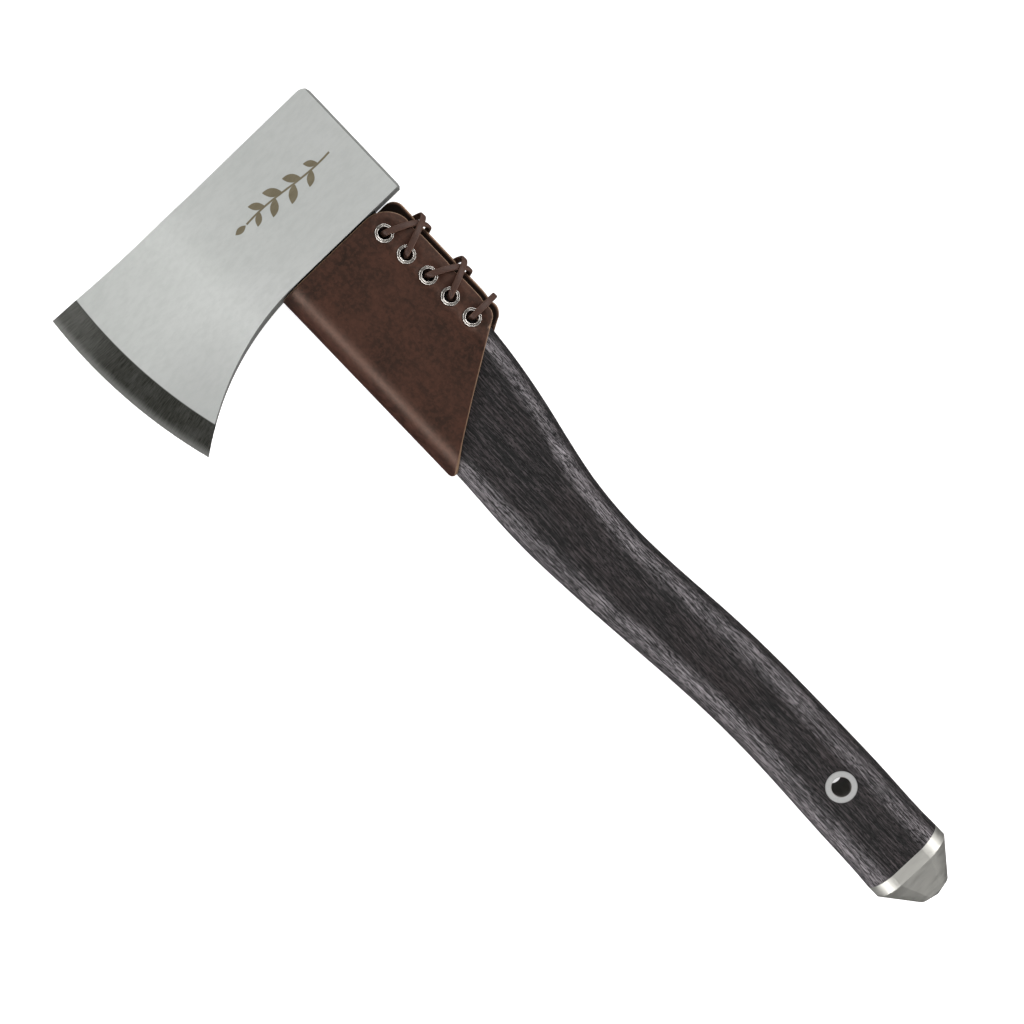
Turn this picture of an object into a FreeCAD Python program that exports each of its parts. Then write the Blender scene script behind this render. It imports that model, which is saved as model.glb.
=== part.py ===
import FreeCAD, Part
import math
import os
import Sketcher
from FreeCAD import Placement, Rotation, Vector

# A carving hatchet lying on its side. +X runs up the haft to the head, +Y points to the cutting edge
# and +Z is the thickness. Every piece is laid out about the mid-plane, half the head's thickness up.
# Millimetres throughout.

doc = FreeCAD.newDocument("carving_hatchet")
sheet = doc.addObject("Spreadsheet::Sheet", "Dims")

SIZES = {
    # whole tool
    "overall_length": 407.0,
    # head
    "head_length": 135.5,
    "head_thickness": 30.0,
    "poll_height": 52.4,
    "toe_rise": 3.5,
    "toe_bow": 1.4,
    "poll_corner": 4.5,
    "poll_chamfer": 0.9,
    "cheek_start": 61.3,
    "blade_run": 13.2,
    "blade_thickness": 6.0,
    "edge_radius": 213.0,
    "edge_apex_drop": 22.5,
    "heel_drop": 24.3,
    "beard_from_axis": 19.7,
    "bevel_width": 12.6,
    "edge_land": 0.3,
    # eye and haft tenon
    "poll_to_axis": 36.5,
    "eye_length": 46.0,
    "eye_width": 19.0,
    "eye_nose": 9.0,
    "wedge_length": 36.0,
    "wedge_depth": 32.0,
    "wedge_top": 3.6,
    "wedge_tip": 0.8,
    "cross_wedge_length": 13.0,
    "cross_wedge_depth": 18.0,
    "cross_wedge_top": 2.6,
    "cross_wedge_tip": 0.6,
    "cross_wedge_spread": 20.0,
    # haft
    "neck_width": 50.4,
    "neck_thickness": 22.6,
    "neck_end_rise": 0.75,
    "neck_end_taper": 1.5,
    "butt_width": 36.6,
    "butt_thickness": 25.8,
    "butt_nose": 10.4,
    "butt_rise": 2.3,
    # lanyard tube
    "tube_from_butt": 40.3,
    "tube_rise": 0.4,
    "tube_outer": 12.7,
    "tube_bore": 8.0,
    "tube_length": 27.2,
    # butt cap and its stud
    "cap_length": 21.6,
    "cap_band": 5.2,
    "cap_tip_length": 2.4,
    "cap_tip_width": 15.0,
    "cap_tip_thickness": 12.0,
    "cap_point": 1.6,
    "cap_point_thickness": 1.28,
    "stud_diameter": 6.0,
    "stud_in_haft": 32.0,
    "stud_in_cap": 11.0,
    # leather collar
    "leather": 2.2,
    "collar_gap": 0.3,
    "collar_top_gap": 0.6,
    "collar_front": 96.5,
    "collar_rear": 61.5,
    "wrap_angle": 20.0,
    "near_edge": 29.2,
    "far_edge": 32.2,
    "collar_corner": 8.0,
    "collar_rear_corner": 6.4,
    "collar_toe_corner": 2.5,
    # eyelets, washers and lace
    "eyelet_first": 9.3,
    "eyelet_pitch": 11.63,
    "eyelet_inset": 19.5,
    "eyelet_drift": 0.55,
    "eyelet_flange": 7.7,
    "eyelet_hole": 4.5,
    "eyelet_barrel": 5.3,
    "eyelet_crown": 0.8,
    "eyelet_lip": 0.32,
    "eyelet_roll": 0.48,
    "eyelet_clearance": 0.1,
    "washer_outer": 7.4,
    "washer_thickness": 0.5,
    "lace_diameter": 2.0,
    "lace_gap": 0.35,
    "lace_past_edge": 1.6,
    "lace_past_corner": 0.9,
    "lace_over_corner": 1.15,
    "lace_behind_neck": 4.0,
    "lace_spread": 3.6,
    "lace_tail": 2.2,
    "knot_diameter": 4.8,
    "knot_length": 5.2,
    "knot_gap": 1.2,
    # thinning at the back of the neck
    "relief_thickness": 10.8,
    "relief_edge": 22.6,
    "relief_margin": 1.0,
}

# Haft sections between the neck and the butt: share of the haft's run below the head, rise of the
# section's centre towards the edge, waist and swell (how much the section is narrower and thicker
# than a straight taper from neck to butt, on each side) and nose length over half thickness.
GRIP_STATIONS = [
    (0.310, 3.2, 0.761, 0.104, 0.975),
    (0.400, 6.65, 2.590, 0.760, 0.898),
    (0.476, 7.1, 3.616, 1.138, 0.848),
    (0.552, 5.6, 3.591, 1.117, 0.820),
    (0.643, 2.9, 3.063, 0.971, 0.805),
    (0.734, 1.25, 2.685, 0.926, 0.791),
    (0.825, 1.1, 1.908, 0.780, 0.784),
    (0.916, 1.7, 0.880, 0.534, 0.782),
]
# Shares of the same run where the neck is still at its full section, and where it ends.
NECK_SHARES = {"neck_upper": 0.07, "neck_lower": 0.14}
NECK_END_SHARE = 0.218

# Share of each cheek's S-curve that is convex; the rest is concave.
CHEEK_CONVEX = 0.3
# Where the poll's rounded corner bows out: shares of the corner's size along and down.
CORNER_BOW = (0.14, 0.36)
# Nose of the cap's faceted sections over their width.
CAP_NOSE = 0.3
# Shares of the way to the next eyelet where the lace passes a flap's edge and a corner of the wood.
LACE_AT_EDGE = 0.38
LACE_AT_CORNER = 0.18
LACE_BEHIND_NECK = 0.4
EYELETS = 5

for row, (alias, size) in enumerate(SIZES.items(), start=1):
    sheet.set(f"A{row}", alias)
    sheet.set(f"B{row}", str(size))
    sheet.setAlias(f"B{row}", alias)
doc.recompute()

# Places that several pieces share, as expressions in the sheet's names.
HEAD_TOP = "(Dims.overall_length / 2 - Dims.toe_rise)"
UNDER = "(Dims.overall_length / 2 - Dims.toe_rise - Dims.poll_height)"
BUTT = "(Dims.cap_length - Dims.overall_length / 2)"
HAFT_RUN = "(Dims.overall_length - Dims.toe_rise - Dims.poll_height - Dims.cap_length)"
POLL = "(-Dims.head_length / 2)"
AXIS = "(Dims.poll_to_axis - Dims.head_length / 2)"
MID = "(Dims.head_thickness / 2)"
EDGE_CENTRE_X = "(Dims.overall_length / 2 - Dims.edge_apex_drop)"
EDGE_CENTRE_Y = "(Dims.head_length / 2 - Dims.edge_radius)"
TUBE_X = f"({BUTT} + Dims.tube_from_butt)"
TUBE_Y = f"({AXIS} + Dims.tube_rise)"
BUTT_Y = f"({AXIS} + Dims.butt_rise)"
KNOT_BACK = "(Dims.relief_edge + Dims.knot_length / 2 + Dims.knot_gap)"

# The leather's flaps are flat behind the line where they leave the curve round the haft's back.
BACK_CENTRE = "((Dims.neck_width - Dims.neck_thickness) / 2)"
OUTER_CURVE = "(Dims.neck_thickness / 2 + Dims.collar_gap + Dims.leather)"
FLAP_START = f"({BACK_CENTRE} + {OUTER_CURVE} * sin(Dims.wrap_angle))"
FLAP_HEIGHT = f"({OUTER_CURVE} * cos(Dims.wrap_angle))"


def value(expression):
    """Number that an expression in the sheet's names stands for."""
    return float(sheet.evalExpression(str(expression)))


def origin_plane(body, role):
    """Origin plane of a body, by its role."""
    return next(f for f in body.Origin.OriginFeatures if f.Role == role)


def new_body(label):
    """Empty PartDesign body with its own label."""
    body = doc.addObject("PartDesign::Body", label)
    body.Label = label
    return body


def new_sketch(body, name, role, offset="0"):
    """Sketch on an origin plane of the body, moved along the plane's normal."""
    sketch = body.newObject("Sketcher::SketchObject", f"{body.Name}_{name}")
    sketch.AttachmentSupport = (origin_plane(body, role), [""])
    sketch.MapMode = "FlatFace"
    sketch.AttachmentOffset = Placement(Vector(0, 0, value(offset)), Rotation())
    sketch.setExpression("AttachmentOffset.Base.z", str(offset))
    return sketch


def pin(sketch, geometry, position, across, up):
    """Hold a sketch point at two expressions."""
    for kind, expression in (("DistanceX", across), ("DistanceY", up)):
        constraint = Sketcher.Constraint(kind, -1, 1, geometry, position, value(expression))
        index = sketch.addConstraint(constraint)
        sketch.setExpression(f"Constraints[{index}]", str(expression))


def draw(sketch, corners):
    """Closed outline. A corner is (across, up), or (across, up, via across, via up) where an arc
    through the via point leads to it from the corner before."""
    places = [Vector(value(c[0]), value(c[1]), 0) for c in corners]
    drawn = []
    for number, corner in enumerate(corners):
        start = places[number - 1]
        end = places[number]
        if len(corner) == 2:
            edge = sketch.addGeometry(Part.LineSegment(start, end), False)
            drawn.append((edge, 1, 2))
            continue
        via = Vector(value(corner[2]), value(corner[3]), 0)
        edge = sketch.addGeometry(Part.Arc(start, via, end), False)
        first_is_start = (sketch.getPoint(edge, 1) - start).Length < (sketch.getPoint(edge, 2) - start).Length
        drawn.append((edge, 1, 2) if first_is_start else (edge, 2, 1))
        bow = sketch.addGeometry(Part.Point(via), True)
        pin(sketch, bow, 1, corner[2], corner[3])
        sketch.addConstraint(Sketcher.Constraint("PointOnObject", bow, 1, edge))
    for number, corner in enumerate(corners):
        edge, _, end = drawn[number]
        following, start, _ = drawn[(number + 1) % len(drawn)]
        sketch.addConstraint(Sketcher.Constraint("Coincident", edge, end, following, start))
        pin(sketch, edge, end, corner[0], corner[1])


def circle(sketch, across, up, diameter):
    """Circle with a bound centre and diameter."""
    centre = Vector(value(across), value(up), 0)
    ring = sketch.addGeometry(Part.Circle(centre, Vector(0, 0, 1), value(diameter) / 2), False)
    pin(sketch, ring, 3, across, up)
    index = sketch.addConstraint(Sketcher.Constraint("Diameter", ring, value(diameter)))
    sketch.setExpression(f"Constraints[{index}]", str(diameter))


def oval(body, name, place, centre, half_width, half_thickness, nose):
    """Haft section across X: two flat cheeks joined by two rounded noses."""
    sketch = new_sketch(body, name, "YZ_Plane", place)
    flat = f"({half_width} - {nose})"
    top = f"({MID} + {half_thickness})"
    bottom = f"({MID} - {half_thickness})"
    draw(sketch, [
        (f"{centre} - {flat}", top),
        (f"{centre} - {flat}", bottom, f"{centre} - {half_width}", MID),
        (f"{centre} + {flat}", bottom),
        (f"{centre} + {flat}", top, f"{centre} + {half_width}", MID),
    ])
    return sketch


def pad(body, sketch, length, name, reverse=False):
    """Pad of a bound length."""
    feature = body.newObject("PartDesign::Pad", f"{body.Name}_{name}")
    feature.Profile = sketch
    feature.Length = value(length)
    feature.Reversed = reverse
    feature.setExpression("Length", str(length))
    return feature


def through_pocket(body, sketch, name):
    """Pocket through everything, both ways."""
    feature = body.newObject("PartDesign::Pocket", f"{body.Name}_{name}")
    feature.Profile = sketch
    feature.Type = "ThroughAll"
    feature.Midplane = True
    return feature


def blind_pocket(body, sketch, depth, name, reverse=False):
    """Pocket of a bound depth."""
    feature = body.newObject("PartDesign::Pocket", f"{body.Name}_{name}")
    feature.Profile = sketch
    feature.Length = value(depth)
    feature.Reversed = reverse
    feature.setExpression("Length", str(depth))
    return feature


def wedge_profile(sketch, tip, top, depth):
    """Long wedge seen from the side: narrow at its depth, wide at the top of the eye."""
    draw(sketch, [
        (f"{HEAD_TOP} - {depth}", f"{MID} - {tip} / 2"),
        (HEAD_TOP, f"{MID} - {top} / 2"),
        (HEAD_TOP, f"{MID} + {top} / 2"),
        (f"{HEAD_TOP} - {depth}", f"{MID} + {tip} / 2"),
    ])


def cross_profile(sketch, centre):
    """Small cross wedge seen from above, tapering down into the eye."""
    draw(sketch, [
        (f"{HEAD_TOP} - Dims.cross_wedge_depth", f"{centre} - Dims.cross_wedge_tip / 2"),
        (HEAD_TOP, f"{centre} - Dims.cross_wedge_top / 2"),
        (HEAD_TOP, f"{centre} + Dims.cross_wedge_top / 2"),
        (f"{HEAD_TOP} - Dims.cross_wedge_depth", f"{centre} + Dims.cross_wedge_tip / 2"),
    ])


CROSS_CENTRES = {
    "cross_wedge_poll": f"({AXIS} - Dims.cross_wedge_spread / 2)",
    "cross_wedge_edge": f"({AXIS} + Dims.cross_wedge_spread / 2)",
}


def cut_cross_slots(body):
    """Slots that the two cross wedges fill, through one cheek of the wood to the other."""
    for label, centre in CROSS_CENTRES.items():
        sketch = new_sketch(body, f"{label}_slot", "XY_Plane", f"{MID} - Dims.cross_wedge_length / 2")
        cross_profile(sketch, centre)
        blind_pocket(body, sketch, "Dims.cross_wedge_length", f"{label}_cut", reverse=True)


def make_head():
    """Forged head: side profile, cheeks thinned to the blade, ground bevel and eye."""
    body = new_body("head")
    arc = "Dims.edge_radius"
    heel_x = f"({UNDER} - Dims.heel_drop)"
    toe_x = "(Dims.overall_length / 2)"
    heel_y = f"({EDGE_CENTRE_Y} + sqrt({arc}^2 - ({heel_x} - {EDGE_CENTRE_X})^2))"
    toe_y = f"({EDGE_CENTRE_Y} + sqrt({arc}^2 - ({toe_x} - {EDGE_CENTRE_X})^2))"
    beard_start = f"({AXIS} + Dims.beard_from_axis)"
    beard_turn = f"(2 * atan(Dims.heel_drop / ({heel_y} - {beard_start})))"
    beard_radius = f"(Dims.heel_drop / (1 - cos({beard_turn})))"
    beard_via_x = f"({UNDER} - {beard_radius} * (1 - cos({beard_turn} / 2)))"
    beard_via_y = f"({beard_start} + {beard_radius} * sin({beard_turn} / 2))"
    rise_start = f"({POLL} + Dims.cheek_start)"
    rise_via_y = f"(({rise_start} + {toe_y}) / 2)"
    side = new_sketch(body, "side", "XY_Plane")
    draw(side, [
        (UNDER, POLL),
        (UNDER, beard_start),
        (heel_x, heel_y, beard_via_x, beard_via_y),
        (toe_x, toe_y, EDGE_CENTRE_X, "Dims.head_length / 2"),
        (HEAD_TOP, rise_start, f"{HEAD_TOP} + Dims.toe_bow", rise_via_y),
        (HEAD_TOP, f"{POLL} + Dims.poll_corner"),
        (f"{HEAD_TOP} - Dims.poll_corner / 2", POLL,
         f"{HEAD_TOP} - Dims.poll_corner * {CORNER_BOW[0]}", f"{POLL} + Dims.poll_corner * {CORNER_BOW[1]}"),
    ])
    pad(body, side, "Dims.head_thickness", "blank")

    # The cheeks leave the poll's thickness in a convex arc and reach the blade's in a flatter one.
    drop = "((Dims.head_thickness - Dims.blade_thickness) / 2)"
    run = "(Dims.head_length - Dims.cheek_start - Dims.blade_run)"
    turn = f"(2 * atan({drop} / {run}))"
    both = f"({run} / sin({turn}))"
    convex = f"({both} * {CHEEK_CONVEX})"
    concave = f"({both} * (1 - {CHEEK_CONVEX}))"
    thin_y = f"({rise_start} + {run})"
    for sign, name in (("+", "upper"), ("-", "lower")):
        sketch = new_sketch(body, f"{name}_cheek", "YZ_Plane")
        outer = f"({MID} {sign} Dims.head_thickness)"
        blade = f"({MID} {sign} Dims.blade_thickness / 2)"
        skin = f"({MID} {sign} Dims.head_thickness / 2)"
        draw(sketch, [
            (rise_start, outer),
            (rise_start, skin),
            (f"{rise_start} + {convex} * sin({turn})",
             f"{MID} {sign} (Dims.head_thickness / 2 - {convex} * (1 - cos({turn})))",
             f"{rise_start} + {convex} * sin({turn} / 2)",
             f"{MID} {sign} (Dims.head_thickness / 2 - {convex} * (1 - cos({turn} / 2)))"),
            (thin_y, blade,
             f"{thin_y} - {concave} * sin({turn} / 2)",
             f"{MID} {sign} (Dims.blade_thickness / 2 + {concave} * (1 - cos({turn} / 2)))"),
            ("Dims.head_length", blade),
            ("Dims.head_length", outer),
        ])
        through_pocket(body, sketch, f"{name}_cheek_cut")

    # The bevel is turned about the centre of the cutting edge's arc.
    bevel = new_sketch(body, "bevel", "XZ_Plane", f"-{EDGE_CENTRE_Y}")
    outer_x = f"({EDGE_CENTRE_X} + Dims.edge_radius)"
    inner_x = f"({outer_x} - Dims.bevel_width)"
    grind = new_sketch(body, "bevel_lower", "XZ_Plane", f"-{EDGE_CENTRE_Y}")
    for sketch, sign in ((bevel, "+"), (grind, "-")):
        draw(sketch, [
            (inner_x, f"{MID} {sign} Dims.blade_thickness / 2"),
            (outer_x, f"{MID} {sign} Dims.edge_land / 2"),
            (f"{outer_x} + Dims.bevel_width", f"{MID} {sign} Dims.edge_land / 2"),
            (f"{outer_x} + Dims.bevel_width", f"{MID} {sign} Dims.head_thickness"),
            (inner_x, f"{MID} {sign} Dims.head_thickness"),
        ])
        spindle = sketch.addGeometry(Part.LineSegment(
            Vector(value(EDGE_CENTRE_X), 0, 0), Vector(value(EDGE_CENTRE_X), value(MID), 0)), True)
        pin(sketch, spindle, 1, EDGE_CENTRE_X, "0")
        pin(sketch, spindle, 2, EDGE_CENTRE_X, MID)
        groove = body.newObject("PartDesign::Groove", f"{sketch.Name}_groove")
        groove.Profile = sketch
        groove.ReferenceAxis = (sketch, ["Axis0"])
        groove.Angle = 360

    eye = oval(body, "eye", "0", AXIS, "Dims.eye_length / 2", "Dims.eye_width / 2", "Dims.eye_nose")
    through_pocket(body, eye, "eye_cut")
    doc.recompute()

    poll_y = value(POLL)
    edges = []
    for number, edge in enumerate(body.Shape.Edges, start=1):
        if all(abs(corner.Y - poll_y) < 0.01 for corner in edge.Vertexes):
            edges.append(f"Edge{number}")
    solid = body.Tip
    chamfer = body.newObject("PartDesign::Chamfer", "head_poll_chamfer")
    chamfer.Base = (solid, edges)
    chamfer.Size = value("Dims.poll_chamfer")
    chamfer.setExpression("Size", "Dims.poll_chamfer")
    return body


def make_haft():
    """Wooden haft: neck, swept grip and eye tenon, with the cuts for what is set into it."""
    body = new_body("haft")
    neck_half = "Dims.neck_width / 2"
    neck_thick = "Dims.neck_thickness / 2"
    sections = [oval(body, "neck_top", UNDER, AXIS, neck_half, neck_thick, neck_thick)]
    for name, share in NECK_SHARES.items():
        place = f"({UNDER} - {HAFT_RUN} * {share})"
        sections.append(oval(body, name, place, AXIS, neck_half, neck_thick, neck_thick))
    sections.append(oval(body, "neck_end", f"({UNDER} - {HAFT_RUN} * {NECK_END_SHARE})",
                         f"({AXIS} + Dims.neck_end_rise)",
                         "(Dims.neck_width - Dims.neck_end_taper) / 2", neck_thick, neck_thick))
    for number, (share, rise, waist, swell, roundness) in enumerate(GRIP_STATIONS, start=1):
        place = f"({UNDER} - {HAFT_RUN} * {share})"
        centre = f"({AXIS} + {rise})"
        left = 1 - share
        half_width = f"(Dims.neck_width * {left} + Dims.butt_width * {share}) / 2 - {waist}"
        half_thick = f"((Dims.neck_thickness * {left} + Dims.butt_thickness * {share}) / 2 + {swell})"
        nose = f"({half_thick} * {roundness})"
        sections.append(oval(body, f"grip_{number}", place, centre, f"({half_width})", half_thick, nose))
    sections.append(oval(body, "butt", BUTT, BUTT_Y, "Dims.butt_width / 2", "Dims.butt_thickness / 2",
                         "Dims.butt_nose"))
    loft = body.newObject("PartDesign::AdditiveLoft", "haft_sweep")
    loft.Profile = sections[0]
    loft.Sections = sections[1:]
    loft.Ruled = False

    tenon = oval(body, "tenon", UNDER, AXIS, "Dims.eye_length / 2", "Dims.eye_width / 2", "Dims.eye_nose")
    pad(body, tenon, "Dims.poll_height", "tenon_pad")

    # Kerf that the long wedge fills, and the two slots across it.
    kerf = new_sketch(body, "kerf", "XZ_Plane", f"-({AXIS}) - Dims.wedge_length / 2")
    wedge_profile(kerf, "Dims.wedge_tip", "Dims.wedge_top", "Dims.wedge_depth")
    blind_pocket(body, kerf, "Dims.wedge_length", "kerf_cut", reverse=True)
    cut_cross_slots(body)

    # Cross hole for the lanyard tube and blind bore for the stud.
    hole = new_sketch(body, "tube_hole", "XY_Plane")
    circle(hole, TUBE_X, TUBE_Y, "Dims.tube_outer")
    through_pocket(body, hole, "tube_hole_cut")
    bore = new_sketch(body, "stud_bore", "YZ_Plane", BUTT)
    circle(bore, BUTT_Y, MID, "Dims.stud_diameter")
    blind_pocket(body, bore, "Dims.stud_in_haft", "stud_bore_cut", reverse=True)

    # The back of the neck is thinned where the lace runs between the wood and the leather.
    relief_end = f"({UNDER} - Dims.collar_rear - Dims.relief_margin)"
    relief_back = f"({AXIS} - Dims.neck_width)"
    relief_inner = f"({AXIS} - Dims.eyelet_inset + Dims.washer_outer / 2 + Dims.relief_margin)"
    edge = new_sketch(body, "relief_back", "XY_Plane")
    draw(edge, [
        (relief_end, relief_back),
        (UNDER, relief_back),
        (UNDER, f"({AXIS} - Dims.relief_edge)"),
        (relief_end, f"({AXIS} - Dims.relief_edge)"),
    ])
    through_pocket(body, edge, "relief_back_cut")
    for sign, name in (("+", "upper"), ("-", "lower")):
        sketch = new_sketch(body, f"{name}_relief", "XY_Plane", f"{MID} {sign} Dims.relief_thickness / 2")
        draw(sketch, [
            (relief_end, relief_back),
            (UNDER, relief_back),
            (UNDER, relief_inner),
            (relief_end, relief_inner),
        ])
        blind_pocket(body, sketch, "Dims.neck_thickness", f"{name}_relief_cut", reverse=(sign == "+"))
    return body


def make_eye_wedge():
    """Hardwood wedge that spreads the tenon in the eye."""
    body = new_body("eye_wedge")
    sketch = new_sketch(body, "profile", "XZ_Plane", f"-({AXIS}) - Dims.wedge_length / 2")
    wedge_profile(sketch, "Dims.wedge_tip", "Dims.wedge_top", "Dims.wedge_depth")
    pad(body, sketch, "Dims.wedge_length", "pad")
    cut_cross_slots(body)
    return body


def make_cross_wedge(label):
    """Small steel wedge driven across the wooden one."""
    body = new_body(label)
    sketch = new_sketch(body, "profile", "XY_Plane", f"{MID} - Dims.cross_wedge_length / 2")
    cross_profile(sketch, CROSS_CENTRES[label])
    pad(body, sketch, "Dims.cross_wedge_length", "pad")
    return body


def make_lanyard_tube():
    """Steel tube through the haft for a wrist cord."""
    body = new_body("lanyard_tube")
    sketch = new_sketch(body, "ring", "XY_Plane", f"{MID} - Dims.tube_length / 2")
    circle(sketch, TUBE_X, TUBE_Y, "Dims.tube_outer")
    circle(sketch, TUBE_X, TUBE_Y, "Dims.tube_bore")
    pad(body, sketch, "Dims.tube_length", "pad")
    return body


def make_butt_cap():
    """Faceted steel cap: a band as large as the haft's end, a long taper and a blunt point."""
    body = new_body("butt_cap")
    tip = "(-Dims.overall_length / 2)"
    sections = [
        oval(body, "seat", BUTT, BUTT_Y, "Dims.butt_width / 2", "Dims.butt_thickness / 2", "Dims.butt_nose"),
        oval(body, "band", f"({BUTT} - Dims.cap_band)", BUTT_Y, "Dims.butt_width / 2",
             "Dims.butt_thickness / 2", "Dims.butt_nose"),
        oval(body, "taper", f"({tip} + Dims.cap_tip_length)", BUTT_Y, "Dims.cap_tip_width / 2",
             "Dims.cap_tip_thickness / 2", f"Dims.cap_tip_width * {CAP_NOSE}"),
        oval(body, "point", tip, BUTT_Y, "Dims.cap_point / 2", "Dims.cap_point_thickness / 2",
             f"Dims.cap_point * {CAP_NOSE}"),
    ]
    loft = body.newObject("PartDesign::AdditiveLoft", "butt_cap_facets")
    loft.Profile = sections[0]
    loft.Sections = sections[1:]
    loft.Ruled = True
    bore = new_sketch(body, "stud_bore", "YZ_Plane", BUTT)
    circle(bore, BUTT_Y, MID, "Dims.stud_diameter")
    blind_pocket(body, bore, "Dims.stud_in_cap", "stud_bore_cut")
    return body


def make_butt_stud():
    """Threaded stud, drawn plain, that ties the cap to the haft."""
    body = new_body("butt_stud")
    sketch = new_sketch(body, "section", "YZ_Plane", f"{BUTT} - Dims.stud_in_cap")
    circle(sketch, BUTT_Y, MID, "Dims.stud_diameter")
    pad(body, sketch, "Dims.stud_in_cap + Dims.stud_in_haft", "pad")
    return body


def eyelet_place(number):
    """Distance of an eyelet below the head and behind the haft's axis."""
    return (f"(Dims.eyelet_first + Dims.eyelet_pitch * {number - 1})",
            f"(Dims.eyelet_inset + Dims.eyelet_drift * {number - 1})")


def set_on_flap(body, number, side):
    """Stand a body's own Z on the outer face of a flap at an eyelet. Side is 1 near, -1 far."""
    down, back = eyelet_place(number)
    rise = f"({FLAP_HEIGHT} - ({back} - {FLAP_START}) * tan(Dims.wrap_angle))"
    place = (f"{UNDER} - {down}", f"{AXIS} - {back}", f"{MID} + {side} * {rise}")
    lean = value("Dims.wrap_angle")
    turn = Rotation(Vector(1, 0, 0), lean if side > 0 else 180 - lean)
    body.Placement = Placement(Vector(*[value(p) for p in place]), turn)
    for axis, expression in zip("xyz", place):
        body.setExpression(f"Placement.Base.{axis}", expression)


def make_eyelet(label, number, side):
    """Rolled nickel eyelet: domed flange outside, barrel through the leather, set rim inside."""
    body = new_body(label)
    sketch = new_sketch(body, "profile", "XZ_Plane")
    inner = "(Dims.eyelet_hole / 2)"
    barrel = "(Dims.eyelet_barrel / 2)"
    flange = "(Dims.eyelet_flange / 2)"
    seat = "(-Dims.leather - Dims.washer_thickness)"
    rim = f"({seat} - Dims.eyelet_lip)"
    draw(sketch, [
        (inner, rim),
        (f"{barrel} + Dims.eyelet_roll", rim),
        (f"{barrel} + Dims.eyelet_roll", seat),
        (barrel, seat),
        (barrel, "0"),
        (flange, "0"),
        (inner, "Dims.eyelet_lip", f"({inner} + {flange}) / 2", "Dims.eyelet_crown"),
    ])
    turned = body.newObject("PartDesign::Revolution", f"{body.Name}_turned")
    turned.Profile = sketch
    turned.ReferenceAxis = (sketch, ["V_Axis"])
    turned.Angle = 360
    set_on_flap(body, number, side)
    return body


def make_washer(label, number, side):
    """Flat ring on the flesh side of the leather, under the eyelet's set rim."""
    body = new_body(label)
    sketch = new_sketch(body, "ring", "XY_Plane", "-Dims.leather - Dims.washer_thickness")
    circle(sketch, "0", "0", "Dims.washer_outer")
    circle(sketch, "0", "0", "Dims.eyelet_barrel + 2 * Dims.eyelet_clearance")
    pad(body, sketch, "Dims.washer_thickness", "pad")
    set_on_flap(body, number, side)
    return body


def rounded_face(corners, height):
    """Flat face at a height from (x, y, corner radius) points."""
    edges = []
    starts = []
    ends = []
    for number, (x, y, radius) in enumerate(corners):
        here = Vector(x, y, height)
        before = Vector(*corners[number - 1][:2], height) - here
        after = Vector(*corners[(number + 1) % len(corners)][:2], height) - here
        half = before.getAngle(after) / 2
        reach = radius / math.tan(half)
        bisector = (before.normalize() + after.normalize()).normalize()
        start = here + before * reach
        end = here + after * reach
        starts.append(start)
        ends.append(end)
        if radius > 0:
            middle = here + bisector * (radius / math.sin(half) - radius)
            edges.append(Part.Arc(start, middle, end).toShape())
    for number in range(len(corners)):
        edges.append(Part.makeLine(ends[number - 1], starts[number]))
    return Part.Face(Part.Wire(Part.__sortEdges__(edges)))


def wrap_line(reach, offset, mid, axis):
    """Points and arcs of the leather's section, offset from the neck, from one flap to the other."""
    neck = value("Dims.neck_thickness / 2") + offset
    centre = value(BACK_CENTRE)
    lean = math.radians(value("Dims.wrap_angle"))

    def spot(behind, up):
        return Vector(0, axis - behind, mid + up)

    leave = (centre + neck * math.sin(lean), neck * math.cos(lean))
    bend = (centre + neck * math.sin(lean / 2), neck * math.cos(lean / 2))
    free = (reach, leave[1] - (reach - leave[0]) * math.tan(lean))
    return [
        Part.LineSegment(spot(*free), spot(*leave)),
        Part.Arc(spot(*leave), spot(*bend), spot(centre, neck)),
        Part.LineSegment(spot(centre, neck), spot(-centre, neck)),
        Part.Arc(spot(-centre, neck), spot(-centre - neck, 0), spot(-centre, -neck)),
        Part.LineSegment(spot(-centre, -neck), spot(centre, -neck)),
        Part.Arc(spot(centre, -neck), spot(bend[0], -bend[1]), spot(leave[0], -leave[1])),
        Part.LineSegment(spot(leave[0], -leave[1]), spot(free[0], -free[1])),
    ]


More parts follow.
